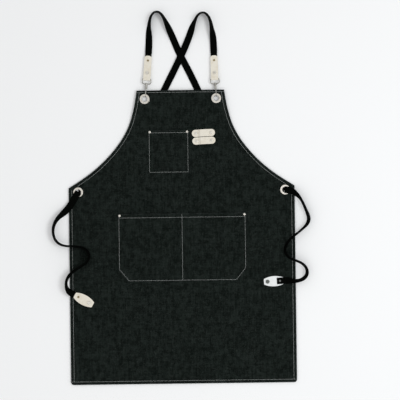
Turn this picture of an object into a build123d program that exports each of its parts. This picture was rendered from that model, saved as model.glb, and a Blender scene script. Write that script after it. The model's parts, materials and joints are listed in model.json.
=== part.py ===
from build123d import *
import math
import os

# Cross-back work apron laid flat: canvas panel, pockets, snap clips and webbing straps.
# Frame, in millimetres: X to the wearer's left as seen from the front, Y to the neck, Z off the table.
bib_top_y = 380.5

# Canvas panel
bib_half_width = 129.0
side_half_width = 333.0
waist_drop = 285.0
panel_length = 865.0
bottom_corner_radius = 9.0
canvas = 1.0
hem_ply = 1.8
hem_width = 12.0
armhole_bends = [(148.0, 89.0), (186.0, 160.0), (254.0, 231.0)]

# The bib's edge rides over the clips and straps, so it stands a little higher than the skirt.
bib_rise = 3.4
rise_start = 112.0
rise_end = 42.0

# Eyelets
eyelet_outer_radius = 14.4
eyelet_bore_radius = 8.7
eyelet_wall = 0.6
flange = 0.9
washer = 0.4
bib_eyelet = (105.5, 25.0)
waist_eyelet = (305.0, 297.0)

# Stitching
thread = 0.7
thread_height = 0.3
stitch_inset = 9.0

# Pockets: left, right, mouth drop, bottom drop
chest_pocket = (-96.0, 22.5, 118.5, 243.5)
lower_pocket = (-189.0, 189.0, 363.0, 563.0)
pocket_seam = 6.0
pocket_wall = 0.9
pocket_gape = 6.4
pocket_slope = 9.0
corner_cut = (29.0, 35.0)
cap_radius = 3.6
cap_height = 1.8
cap_seats = [(-91.8, 122.5), (18.3, 122.5), (-184.0, 368.0), (184.0, 368.0)]

# Pen holder
pen_strip = (68.0, 21.0)
pen_strip_thickness = 1.8
pen_strip_tilt = 2.6
pen_strip_centres = [("upper", 66.4, 127.0), ("lower", 67.6, 149.6)]
pen_rivet_spacing = 44.0
pen_tunnel = (19.0, 5.6)
pen_rivet_radius = 4.6

# Snap clips
wire = 2.4
hook_front_z = 8.9
hook_back_z = 1.9
bow_y = 8.7
tip_y = 12.6
yoke_y = (28.6, 38.0)
post_radius = 2.0
post_clearance = 0.08
eye_boss = (39.0, 44.0)
eye_half_width = 12.6
eye_wire = 2.8
eye_bar_y = 57.5
bolt_radius = 1.0
tab_width = 21.0
tab_length = 71.5
tab_corner_radius = 7.5
tab_leather = 1.6
tab_slope = 2.1
tab_slack = 0.9

# Webbing
webbing = 20.0
webbing_thickness = 1.2
corner_share = 0.45

# End tabs
end_tab_length = 61.0
end_tab_width = 30.0
end_tab_tip = 16.0
end_tab_leather = 2.2

flat_back = hem_ply
flat_front = hem_ply + canvas
raised_back = bib_rise + hem_ply
raised_front = raised_back + canvas
seat_gap = 0.05


def place(x, drop, z=0.0):
    """A point from its distance below the bib's top edge."""
    return (x, bib_top_y - drop, z)


def layer(low, high):
    """A slab between two heights that follows the bib's rise; low and high are measured in the skirt."""
    far = 40.0
    points = [
        (bib_top_y - panel_length - far, low),
        (bib_top_y - rise_start, low),
        (bib_top_y - rise_end, low + bib_rise),
        (bib_top_y + far, low + bib_rise),
        (bib_top_y + far, high + bib_rise),
        (bib_top_y - rise_end, high + bib_rise),
        (bib_top_y - rise_start, high),
        (bib_top_y - panel_length - far, high),
    ]
    profile = Plane.YZ * make_face(Polyline(points, close=True))
    return extrude(profile, amount=side_half_width + far, both=True)


def armhole_curve(side, inset=0.0):
    """The armhole's curve on one side (1 or -1), moved inwards by an inset."""
    points = [(bib_half_width, 0)] + armhole_bends + [(side_half_width, waist_drop)]
    start, end = math.radians(7.5), math.radians(59)
    tangents = [(math.sin(start), -math.cos(start)), (math.sin(end), -math.cos(end))]
    edge = Spline([place(x, drop)[:2] for x, drop in points], tangents=tangents)
    if inset:
        moved = []
        for step in range(13):
            spot, way = edge @ (step / 12), edge % (step / 12)
            moved.append((spot.X + way.Y * inset, spot.Y - way.X * inset))
        edge = Spline(moved)
    return edge if side > 0 else mirror(edge, about=Plane.YZ)


def panel_face():
    """The panel's outline."""
    low = bib_top_y - panel_length
    right, left = armhole_curve(1), armhole_curve(-1)
    lines = [right, left, Line(left @ 0, right @ 0)]
    lines.append(Line(right @ 1, (side_half_width, low)))
    lines.append(Line((side_half_width, low), (-side_half_width, low)))
    lines.append(Line((-side_half_width, low), left @ 1))
    face = make_face(lines)
    corners = [v for v in face.vertices() if v.Y < low + 1]
    return fillet(corners, bottom_corner_radius)


def armhole_strip(side, outer_inset, inner_inset):
    """A flat strip along an armhole, between two insets."""
    outer, inner = armhole_curve(side, outer_inset), armhole_curve(side, inner_inset)
    return make_face([outer, inner, Line(outer @ 0, inner @ 0), Line(outer @ 1, inner @ 1)])


def sheet_prism(face):
    """A tall prism of a flat face, to be cut by a layer."""
    return extrude(face, amount=60)


def window(x0, x1, drop0, drop1):
    """A tall box between two X and two drops."""
    centre = place((x0 + x1) / 2, (drop0 + drop1) / 2)
    return Pos(*centre) * Box(abs(x1 - x0), abs(drop1 - drop0), 200)


def eyelet_places():
    """Name and centre of each eyelet, and the height of the canvas front there."""
    for sign, side in ((-1, "left"), (1, "right")):
        yield side + "_bib", place(sign * bib_eyelet[0], bib_eyelet[1]), raised_front
        yield side + "_waist", place(sign * waist_eyelet[0], waist_eyelet[1]), flat_front


def drill(shape, radius):
    """Cuts the eyelets' holes out of a shape."""
    for _, centre, _ in eyelet_places():
        shape = shape - Pos(*centre) * Cylinder(radius, 200)
    return shape


def make_panel():
    body = sheet_prism(panel_face()) & layer(flat_back, flat_front)
    return drill(body, eyelet_bore_radius + eyelet_wall + seat_gap)


def make_hems():
    """The folded plies under the panel's edge, one strip for each edge."""
    under = layer(0, flat_back)
    edge = bib_half_width - hem_width - 0.6
    inner = side_half_width - hem_width
    side_start = waist_drop + hem_width
    bottom = panel_length - hem_width
    parts = {"top_hem": window(-edge, edge, 0, hem_width) & under}
    for sign, side in ((-1, "left"), (1, "right")):
        armhole = sheet_prism(armhole_strip(sign, 0, hem_width)) & under
        parts[side + "_armhole_hem"] = armhole
        parts[side + "_side_hem"] = window(sign * inner, sign * side_half_width, side_start, bottom) & under
    foot = Pos(*place(0, (bottom + panel_length) / 2)) * Rectangle(2 * side_half_width, hem_width)
    foot = fillet(foot.vertices().group_by(Axis.Y)[0], bottom_corner_radius)
    parts["bottom_hem"] = sheet_prism(foot) & under
    return {name: drill(part, eyelet_outer_radius + 0.3) for name, part in parts.items()}


def make_topstitch():
    """The raised seam line inside every edge of the panel."""
    low, high = stitch_inset - thread / 2, stitch_inset + thread / 2
    far = side_half_width - stitch_inset
    skin = layer(flat_front, flat_front + thread_height)
    top = bib_half_width - stitch_inset - 1.5
    foot = panel_length - stitch_inset
    runs = [window(-top, top, low, high)]
    runs.append(window(-far, far, foot - thread / 2, foot + thread / 2))
    for sign in (-1, 1):
        x = sign * far
        runs.append(window(x - thread / 2, x + thread / 2, waist_drop + stitch_inset, foot - thread))
        runs.append(sheet_prism(armhole_strip(sign, low, high)))
    lines = [drill(run & skin, eyelet_outer_radius + 0.4) for run in runs]
    return Compound([solid for line in lines for solid in line.solids()])


def make_eyelet(centre, front):
    """A rolled flange on the front, a barrel through the canvas and a washer behind it."""
    top = Pos(0, 0, front + flange / 2) * Cylinder(eyelet_outer_radius, flange)
    top = fillet(top.edges().group_by(Axis.Z)[-1], flange * 0.6)
    back = front - canvas
    foot = back - washer
    barrel = Pos(0, 0, (foot + front) / 2) * Cylinder(eyelet_bore_radius + eyelet_wall, front - foot)
    eyelet = top + barrel - Pos(0, 0, front) * Cylinder(eyelet_bore_radius, 40)
    plate = Pos(0, 0, back - washer / 2) * Cylinder(eyelet_outer_radius, washer)
    plate = plate - Pos(0, 0, back) * Cylinder(eyelet_bore_radius + eyelet_wall + seat_gap, 20)
    return Pos(centre[0], centre[1], 0) * eyelet, Pos(centre[0], centre[1], 0) * plate


def tent(x0, x1, drop0, drop1, base, rise, foot_rise, slope):
    """A wedge that opens towards the neck: a low trapezium at the bottom, a tall one at the mouth."""
    faces = []
    for drop, height in ((drop1, foot_rise), (drop0, rise)):
        points = [
            place(x0, drop, base),
            place(x1, drop, base),
            place(x1 - slope, drop, base + height),
            place(x0 + slope, drop, base + height),
        ]
        faces.append(make_face(Polyline(points, close=True)))
    return loft(faces, ruled=True)


def corner_prisms(box, cut, extra):
    """Prisms that take the two bottom corners off a pocket."""
    x0, x1, _, bottom = box
    prisms = []
    for x, sign in ((x0, 1), (x1, -1)):
        corner = place(x - sign * 20, bottom + 20)
        along = (x + sign * (cut[0] + extra + 20 * cut[0] / cut[1]), corner[1])
        up = (corner[0], bib_top_y - bottom + cut[1] + extra + 20 * cut[1] / cut[0])
        face = make_face(Polyline([corner[:2], along, up], close=True))
        prisms.append(extrude(face, amount=60))
    return prisms


def make_pocket(box, cells, cut=None):
    """A patch pocket: flat seams on three sides and a gaping mouth; cells are the X spans of its cavities."""
    x0, x1, mouth, bottom = box
    base = flat_front
    body = Pos(*place((x0 + x1) / 2, (mouth + bottom) / 2, base + pocket_wall / 2))
    body = body * Box(x1 - x0, bottom - mouth, pocket_wall)
    hollow = []
    foot = pocket_wall + 0.2
    for left, right in cells:
        span = (left - 1.5, right + 1.5)
        cover = tent(*span, mouth, bottom - 4.5, base, pocket_gape + pocket_wall, foot, pocket_slope)
        for prism in corner_prisms(box, cut, 4.5) if cut else []:
            cover = cover - prism
        body = body + cover
        gape = tent(left, right, mouth, bottom - pocket_seam, base, pocket_gape, 0.3, pocket_slope)
        lip = Pos(0, 1, 0) * tent(left, right, mouth, mouth + 3, base, pocket_gape, pocket_gape, pocket_slope)
        hollow += [gape, lip]
    for space in hollow:
        for prism in corner_prisms(box, cut, pocket_seam) if cut else []:
            space = space - prism
        body = body - space
    for prism in corner_prisms(box, cut, 0) if cut else []:
        body = body - prism
    for x, drop in cap_seats:
        body = body - Pos(*place(x, drop, base + pocket_wall + 10)) * Cylinder(cap_radius + 0.1, 20)
    return body


def make_pocket_stitch(box, inset, cut=None, divider=False):
    """Raised thread along a pocket's two sides and bottom, and down its middle."""
    x0, x1, mouth, bottom = box
    top = mouth + 5
    route = [(x0 + inset, top), (x1 - inset, top), (x1 - inset, bottom - inset), (x0 + inset, bottom - inset)]
    if cut:
        dx, dy = cut
        route[2:] = [
            (x1 - inset, bottom - dy),
            (x1 - dx, bottom - inset),
            (x0 + dx, bottom - inset),
            (x0 + inset, bottom - dy),
        ]
    outline = make_face(Polyline([place(x, drop)[:2] for x, drop in route], close=True))
    line = outline - offset(outline, amount=-thread, kind=Kind.INTERSECTION)
    low = flat_front + pocket_wall
    lift = extrude(line, amount=60) & Pos(0, 0, low + thread_height / 2) * Box(2000, 2000, thread_height)
    lift = lift - window(x0 + inset + thread, x1 - inset - thread, top - 1, top + thread + 1)
    if divider:
        centre = place(0, (top + bottom - inset) / 2, low + thread_height / 2)
        lift = lift + Pos(*centre) * Box(thread, bottom - inset - top, thread_height)
    for x, drop in cap_seats:
        lift = lift - Pos(*place(x, drop)) * Cylinder(cap_radius + 0.3, 60)
    return lift


def make_cap(x, drop, z, radius=cap_radius, height=cap_height):
    """A domed rivet cap standing on the height z."""
    cap = Pos(0, 0, height / 2) * Cylinder(radius, height)
    cap = fillet(cap.edges().group_by(Axis.Z)[-1], height * 0.6)
    return Pos(*place(x, drop, z)) * cap


def make_pen_strip(x, drop):
    """A leather strip with rounded ends, arched over a tunnel between its two rivets."""
    length, width = pen_strip
    span, rise = pen_tunnel
    low, high = flat_front, flat_front + pen_strip_thickness
    half = length / 2
    foot = span / 2 + 7.6
    side = [(-half, high), (-foot, high), (-span / 2, high + rise)]
    outer = side + [(-px, pz) for px, pz in reversed(side)]
    under = [(foot - 1.4, low), (span / 2 - 0.7, low + rise)]
    inner = [(half, low)] + under + [(-px, pz) for px, pz in reversed(under)] + [(-half, low)]
    profile = Plane.XZ * make_face(Polyline(outer + inner, close=True))
    arch = extrude(profile, amount=width, both=True)
    footprint = extrude(SlotOverall(length, width), amount=60)
    strip = arch & footprint
    return Pos(*place(x, drop)) * Rot(0, 0, pen_strip_tilt) * strip


def pen_rivet_points():
    for _, x, drop in pen_strip_centres:
        for sign in (-1, 1):
            turn = math.radians(pen_strip_tilt)
            reach = sign * pen_rivet_spacing / 2
            yield x + reach * math.cos(turn), drop - reach * math.sin(turn)


def rod(start, end, radius):
    """A round bar between two points."""
    axis = Vector(*end) - Vector(*start)
    plane = Plane(origin=start, z_dir=axis)
    return extrude(plane * Circle(radius), amount=axis.length)


def bent_rod(path, radius):
    """A round bar along a path of lines and arcs."""
    start = Plane(origin=path @ 0, z_dir=path % 0)
    return sweep(start * Circle(radius), path=path)


def make_hook():
    """Cast yoke and collar, a swivel post with a head, and the wire that bends through the eyelet."""
    front, back = hook_front_z, hook_back_z
    axis = (front + back) / 2
    bend = (front - back) / 2
    arm = Line((0, yoke_y[0] + 2, front), (0, bow_y, front))
    bow = ThreePointArc((0, bow_y, front), (0, bow_y - bend, axis), (0, bow_y, back))
    tip = Line((0, bow_y, back), (0, tip_y, back))
    hook = bent_rod(Wire([arm, bow, tip]), wire / 2)
    length = yoke_y[1] - yoke_y[0]
    middle = sum(yoke_y) / 2
    low, high = 0.35, front + wire / 2
    yoke = Pos(0, middle, (low + high) / 2) * Box(6.4, length, high - low)
    yoke = fillet(yoke.edges().filter_by(Axis.Y), 2.2)
    bore_end = yoke_y[1] - 1.2
    yoke = yoke - rod((0, yoke_y[0] - 1, back), (0, bore_end, back), bolt_radius + 0.35)
    hook = hook + yoke
    hook = hook + rod((0, yoke_y[1] - 1, axis), (0, eye_boss[1] + 1.9, axis), post_radius)
    head = rod((0, eye_boss[1] + 0.3, axis), (0, eye_boss[1] + 1.9, axis), 3.2)
    return hook + head


def make_bolt():
    """The spring bolt that closes the hook, with its thumb stud."""
    bolt = rod((0, tip_y + 0.15, hook_back_z), (0, yoke_y[0] + 1.6, hook_back_z), bolt_radius)
    collar = rod((0, tip_y + 3.0, hook_back_z), (0, tip_y + 5.0, hook_back_z), bolt_radius + 0.25)
    return bolt + collar


def make_bolt_spring():
    """The coil behind the bolt, as the sleeve that it fills."""
    start, end = yoke_y[0] + 1.7, yoke_y[1] - 1.3
    sleeve = rod((0, start, hook_back_z), (0, end, hook_back_z), 0.95)
    return sleeve - rod((0, start - 1, hook_back_z), (0, end + 1, hook_back_z), 0.6)


def make_swivel_eye():
    """A D-shaped loop: a boss on the swivel post, two bent sides and the straight bar in the leather."""
    axis = (hook_front_z + hook_back_z) / 2
    half = eye_half_width
    low = sum(eye_boss) / 2
    path = FilletPolyline(
        (2.0, low, axis),
        (half, low + 3.5, axis),
        (half, eye_bar_y, axis),
        (-half, eye_bar_y, axis),
        (-half, low + 3.5, axis),
        (-2.0, low, axis),
        radius=[4.5, 2.6, 2.6, 4.5],
    )
    loop = bent_rod(path, eye_wire / 2)
    boss = rod((0, eye_boss[0], axis), (0, eye_boss[1], axis), 4.1)
    bore = rod((0, 0, axis), (0, 60, axis), post_radius + post_clearance)
    head_room = rod((0, eye_boss[1], axis), (0, eye_boss[1] + 4, axis), 3.6)
    return loop + boss - bore - head_room


def tab_layout():
    """Heights of the clip tab: the loop round the bar, then two plies with the webbing between them."""
    axis = (hook_front_z + hook_back_z) / 2
    gap = webbing_thickness + 0.04
    return axis, gap


def make_clip_tab():
    """Leather folded round the eye's bar, its two plies closing on the webbing; in the clip's frame."""
    axis, gap = tab_layout()
    eye = eye_wire / 2 + tab_slack
    far = eye_bar_y + tab_length - eye
    close = eye_bar_y + 10.0
    outer_reach = eye + tab_leather
    half_pack = gap / 2 + tab_leather
    outer = Pos(0, eye_bar_y, axis) * Rot(0, 90, 0) * Cylinder(outer_reach, tab_width)
    neck_points = [
        (eye_bar_y, axis + outer_reach),
        (close, axis + half_pack),
        (far, axis + half_pack),
        (far, axis - half_pack),
        (close, axis - half_pack),
        (eye_bar_y, axis - outer_reach),
    ]
    neck = extrude(Plane.YZ * make_face(Polyline(neck_points, close=True)), amount=tab_width / 2, both=True)
    hole = Pos(0, eye_bar_y, axis) * Rot(0, 90, 0) * Cylinder(eye, tab_width + 4)
    inner_points = [
        (eye_bar_y, axis + eye),
        (close, axis + gap / 2),
        (far + 5, axis + gap / 2),
        (far + 5, axis - gap / 2),
        (close, axis - gap / 2),
        (eye_bar_y, axis - eye),
    ]
    inner_face = make_face(Polyline(inner_points, close=True))
    inner = extrude(Plane.YZ * inner_face, amount=tab_width, both=True)
    tab = outer + neck - hole - inner
    trim = RectangleRounded(tab_width, 40, tab_corner_radius)
    corner = Pos(0, far - 20, 0) * extrude(trim, amount=40)
    body = Pos(0, far - 60, 20) * Box(tab_width, 90, 40)
    return tab & (corner + body)


def make_tab_rivet(y, radius, height):
    """A rivet through both plies: its cap above, its shank, and a flat back."""
    axis, gap = tab_layout()
    top = axis + gap / 2 + tab_leather
    cap = Pos(0, y, top + height / 2) * Cylinder(radius, height)
    return fillet(cap.edges().group_by(Axis.Z)[-1], height * 0.55)


def make_tab_webbing():
    """The webbing's end, sewn between the plies."""
    axis, _ = tab_layout()
    far = eye_bar_y + tab_length - eye_wire / 2 - tab_slack
    start = eye_bar_y + 13
    return Pos(0, (start + far + 6) / 2, axis) * Box(webbing - 1.0, far + 6 - start, webbing_thickness)


# Webbing routes: X, drop below the bib's top edge, height of the middle, lean in degrees.
# A lean of 90 stands the webbing on its edge.
left_shoulder_route = [
    (-92.2, -109.7, 2.5, 0), (-90.3, -140, 0.9, 3), (-90.4, -165, 3, 20), (-90.2, -184, 8, 52),
    (-88.3, -202, 9.7, 62), (-84.4, -218, 10, 66), (-76, -229, 10, 66), (-64, -232.5, 10, 66),
    (-53, -225, 10, 66), (-44.5, -211, 9.6, 62), (-36.5, -193, 7, 42), (-28.5, -174, 2.9, 15),
    (-19, -152, 0.7, 1), (-3, -112, 0.6, 0), (13.5, -80, 0.6, 0), (31.5, -44, 0.6, 0),
    (52, 0, 0.6, 0), (70, 42, 0.6, 0), (93, 85, 0.6, 0), (117, 134, 0.6, 0),
    (148, 182, 0.6, 0), (186, 226, 0.6, 0), (229, 264, 0.6, 0), (268, 287, 0.6, 0),
    (303, 296.6, 0.6, 0),
]
right_shoulder_route = [
    (100.3, -108.3, 2.5, 0), (99.6, -138, 0.9, -3), (98, -160, 3, -20), (95.4, -178, 8, -52),
    (92.6, -198, 9.7, -62), (86.8, -215, 10, -66), (77, -226, 10, -66), (65, -227.5, 10, -66),
    (54, -220, 10, -66), (46.5, -206, 9.6, -62), (39.5, -190, 7, -42), (33, -171, 3.4, -15),
    (24.5, -148, 1.7, 0), (12.5, -120, 2.8, 0), (-4.5, -85, 2.8, 0), (-16.5, -61, 1.2, 0),
    (-29.5, -36, 0.6, 0), (-52, 8, 0.6, 0), (-70, 45, 0.6, 0), (-92, 88, 0.6, 0),
    (-118, 136, 0.6, 0), (-148, 181, 0.6, 0), (-186, 227, 0.6, 0), (-228, 263, 0.6, 0),
    (-268, 288, 0.6, 0), (-303, 296.6, 0.6, 0),
]
left_tie_route = [
    (-304, 296, 4.9, 0), (-311, 307, 5.3, 2), (-318.5, 320, 5.4, 4), (-328, 335, 5.2, 8),
    (-339, 349, 6.6, 12), (-351, 360, 8.3, 38), (-364, 371, 8.8, 58), (-375, 387, 9.7, 70),
    (-380, 405, 10, 74), (-378.8, 423, 10, 77), (-372.5, 439, 9.9, 77), (-360, 450, 9.9, 77),
    (-343, 454.5, 12.9, 77), (-325, 455.5, 13.5, 76), (-306, 457, 13.6, 74), (-288.5, 462, 13.8, 74),
    (-276.5, 472, 13.6, 76), (-273, 487, 13.6, 76), (-279.5, 502, 13.6, 74), (-293, 512, 13.5, 72),
    (-309.4, 521.4, 13.4, 70), (-325, 532, 13.3, 68), (-337, 545, 13.1, 68), (-343.5, 561, 12.8, 74),
    (-342.5, 576, 12.6, 70), (-337.5, 587, 11.2, 50), (-329.5, 593.5, 7.8, 24), (-320.6, 598.2, 4.2, 0),
]
right_tie_route = [
    (304, 297, 4.9, 0), (316, 298.5, 7, -10), (328.5, 303, 10.4, -34), (340, 313, 12.2, -58),
    (350.5, 325, 10.4, -73), (358, 340, 10.3, -73), (364.5, 356, 10.2, -72), (371, 371, 9.9, -66),
    (373.8, 386, 9.7, -62), (368, 400, 9.9, -68), (355, 412.5, 10.4, -77), (340.5, 424, 13, -77),
    (325, 436, 13.6, -76), (311.5, 449, 13.6, -74), (302.5, 464, 13.6, -74), (301, 480, 13.4, -74),
    (308.5, 493.5, 13.5, -74), (322.5, 502, 13.5, -72), (339, 508, 13.3, -70), (354.5, 516, 11.3, -70),
    (365, 529, 10.1, -70), (367, 545, 10, -68), (358, 558.5, 10.9, -64), (343, 565, 12.9, -68),
    (328, 566.6, 12.1, -58), (314.5, 564.6, 8.8, -28), (302.6, 564.8, 6.1, 0),
]


def ribbon(name, route, width=webbing):
    """A flat strap: straight runs joined by arcs, each arc as large as its two runs allow."""
    points = [Vector(*place(x, drop, z)) for x, drop, z, _ in route]
    leans = [lean for _, _, _, lean in route]
    steps = [b - a for a, b in zip(points, points[1:])]
    stations = [(points[0], steps[0].normalized(), leans[0])]
    radii = []
    for i in range(1, len(points) - 1):
        before, after = steps[i - 1], steps[i]
        reach = corner_share * min(before.length, after.length)
        turn = math.radians(before.get_angle(after))
        u, v = before.normalized(), after.normalized()
        radius = reach / math.tan(turn / 2)
        radii.append(radius)
        inside = (v - u).normalized()
        middle = points[i] + inside * (radius / math.cos(turn / 2) - radius)
        back = leans[i] + (leans[i - 1] - leans[i]) * reach / before.length
        on = leans[i] + (leans[i + 1] - leans[i]) * reach / after.length
        stations.append((points[i] - u * reach, u, back))
        stations.append((middle, (u + v).normalized(), leans[i]))
        stations.append((points[i] + v * reach, v, on))
    stations.append((points[-1], steps[-1].normalized(), leans[-1]))
    sections = []
    for centre, along, lean in stations:
        level = along.cross(Vector(0, 0, 1)).normalized()
        rise = level.cross(along)
        tilt = math.radians(lean)
        across = level * math.cos(tilt) + rise * math.sin(tilt)
        plane = Plane(origin=centre, x_dir=across, z_dir=along)
        sections.append(plane * Rectangle(width, webbing_thickness))
    length = sum((b[0] - a[0]).length for a, b in zip(stations, stations[1:]))
    strap = loft(sections, ruled=True)
    share = strap.volume / (length * width * webbing_thickness)
    print(name, "length", round(length), "radii", [round(r) for r in radii], "volume share", round(share, 3))
    return strap


def end_tab_face():
    """A barrel-shaped leaf with straight ends, lying along +X from its webbing end."""
    half, tip = end_tab_width / 2, end_tab_tip / 2
    length = end_tab_length
    upper = ThreePointArc((0, tip), (length / 2, half), (length, tip))
    lower = ThreePointArc((0, -tip), (length / 2, -half), (length, -tip))
    ends = [Line((0, tip), (0, -tip)), Line((length, tip), (length, -tip))]
    face = make_face([upper, lower] + ends)
    return fillet(face.vertices(), 3.0)


def make_button(x, z, radius, height):
    """A round cap that reaches a little into the shank below it."""
    return Pos(x, 0, z + height / 2 - 0.02) * Cylinder(radius, height)


def make_end_tab(location, z, rivet_at, snap_at, webbing_above):
    """A leather leaf, its rivet, its snap and the webbing end sewn to it; location places its near end."""
    top = end_tab_leather
    leaf = extrude(end_tab_face(), amount=top)
    leaf = leaf - Pos(rivet_at, 0, 0) * Cylinder(1.6, 20) - Pos(snap_at, 0, 0) * Cylinder(2.6, 20)
    start, end = -1.0, rivet_at + 9.0
    level = top + 0.05 + webbing_thickness / 2 if webbing_above else -0.05 - webbing_thickness / 2
    strap = Pos((start + end) / 2, 0, level) * Box(end - start, webbing - 1, webbing_thickness)
    strap = strap - Pos(rivet_at, 0, 0) * Cylinder(1.6, 20)
    low = 0.0 if webbing_above else -0.05 - webbing_thickness
    high = top + 0.05 + webbing_thickness if webbing_above else top
    rivet = Pos(rivet_at, 0, (low + high) / 2) * Cylinder(1.55, high - low)
    rivet = rivet + make_button(rivet_at, high + 0.02, 3.0, 1.2)
    snap = Pos(snap_at, 0, top / 2) * Cylinder(2.55, top) + make_button(snap_at, top + 0.02, 5.6, 1.6)
    if webbing_above:
        snap = snap - Pos(snap_at, 0, top + 1.6) * Cylinder(3.4, 1.8)
    seat = location * Pos(0, 0, z)
    return {"": seat * leaf, "_rivet": seat * rivet, "_snap": seat * snap, "_webbing": seat * strap}


nodes = {}


def keep(name, shape):
    nodes[name] = shape


keep("body_panel", make_panel())
for hem_name, hem in make_hems().items():
    keep(hem_name, hem)
keep("body_topstitch", make_topstitch())
for eyelet_name, eyelet_centre, eyelet_front in eyelet_places():
    eyelet, plate = make_eyelet(eyelet_centre, eyelet_front)
    keep(eyelet_name + "_eyelet", eyelet)
    keep(eyelet_name + "_washer", plate)

chest_cell = (chest_pocket[0] + pocket_seam, chest_pocket[1] - pocket_seam)
keep("chest_pocket", make_pocket(chest_pocket, [chest_cell]))
keep("chest_pocket_stitch", make_pocket_stitch(chest_pocket, 2.4))
half_pocket = lower_pocket[1] - pocket_seam
lower_cells = [(-half_pocket, -3.5), (3.5, half_pocket)]
keep("lower_pocket", make_pocket(lower_pocket, lower_cells, corner_cut))
keep("lower_pocket_stitch", make_pocket_stitch(lower_pocket, 3.0, corner_cut, divider=True))

caps = [make_cap(x, drop, flat_front + pocket_wall) for x, drop in cap_seats]
keep("pocket_rivet_caps", Compound(caps))
keep("pocket_rivet_backs", Compound([make_cap(x, drop, flat_back - 0.8, 3.0, 0.8) for x, drop in cap_seats]))

for strip_name, strip_x, strip_drop in pen_strip_centres:
    keep(strip_name + "_pen_strip", make_pen_strip(strip_x, strip_drop))
pen_top = flat_front + pen_strip_thickness
keep("pen_strip_rivets", Compound([make_cap(x, drop, pen_top, pen_rivet_radius, 1.6) for x, drop in pen_rivet_points()]))

clip_lean = {"left": (-103.4, 23.8, -5.2, -4.3), "right": (106.9, 25.4, 5.2, 1.0)}
for side, (clip_x, clip_drop, hook_turn, tab_turn) in clip_lean.items():
    seat = Pos(*place(clip_x, clip_drop)) * Rot(0, 0, hook_turn)
    keep(side + "_snap_hook", seat * make_hook())
    keep(side + "_snap_bolt", seat * make_bolt())
    keep(side + "_bolt_spring", seat * make_bolt_spring())
    keep(side + "_swivel_eye", seat * make_swivel_eye())
    clip_axis = (hook_front_z + hook_back_z) / 2
    bar = Pos(0, eye_bar_y, clip_axis)
    tab_seat = seat * bar * Rot(0, 0, tab_turn - hook_turn) * Rot(-tab_slope, 0, 0) * bar.inverse()
    keep(side + "_clip_tab", tab_seat * make_clip_tab())
    keep(side + "_tab_large_rivet", tab_seat * make_tab_rivet(eye_bar_y + 18.5, 5.4, 1.4))
    keep(side + "_tab_small_rivet", tab_seat * make_tab_rivet(eye_bar_y + 55.0, 3.0, 1.2))
    keep(side + "_tab_webbing", tab_seat * make_tab_webbing())
    for label, y in (("post", eye_boss[0]), ("bar", eye_bar_y), ("webbing end", 133.35)):
        point = (seat if label == "post" else tab_seat) * Pos(0, y, clip_axis)
        print(side, label, [round(c, 2) for c in point.position])

routes = {
    "left_shoulder_strap": left_shoulder_route,
    "right_shoulder_strap": right_shoulder_route,
    "left_waist_tie": left_tie_route,
    "right_waist_tie": right_tie_route,
}
for route_name, route in routes.items():
    keep(route_name, ribbon(route_name, route))

for sign, side in ((-1, "left"), (1, "right")):
    centre = place(sign * waist_eyelet[0], waist_eyelet[1], (1.25 + 4.2) / 2)
    keep(side + "_eyelet_fold", Pos(*centre) * Box(11.0, 5.0, 2.95))

left_leaf = Pos(*place(-318.8, 599.2)) * Rot(0, 0, -29.4)
right_leaf = Pos(*place(300.0, 564.8)) * Rot(0, 0, 183.0)
leaf_parts = {
    "left": make_end_tab(left_leaf, 4.75, 12.5, 48.5, webbing_above=False),
    "right": make_end_tab(right_leaf, 3.1, 14.0, 50.5, webbing_above=True),
}
for side, pieces in leaf_parts.items():
    for suffix, shape in pieces.items():
        keep(side + "_end_tab" + suffix, shape)

os.makedirs("parts", exist_ok=True)
for name, shape in nodes.items():
    export_step(shape, os.path.join("parts", name + ".step"))
print(len(nodes), "nodes")
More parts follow.
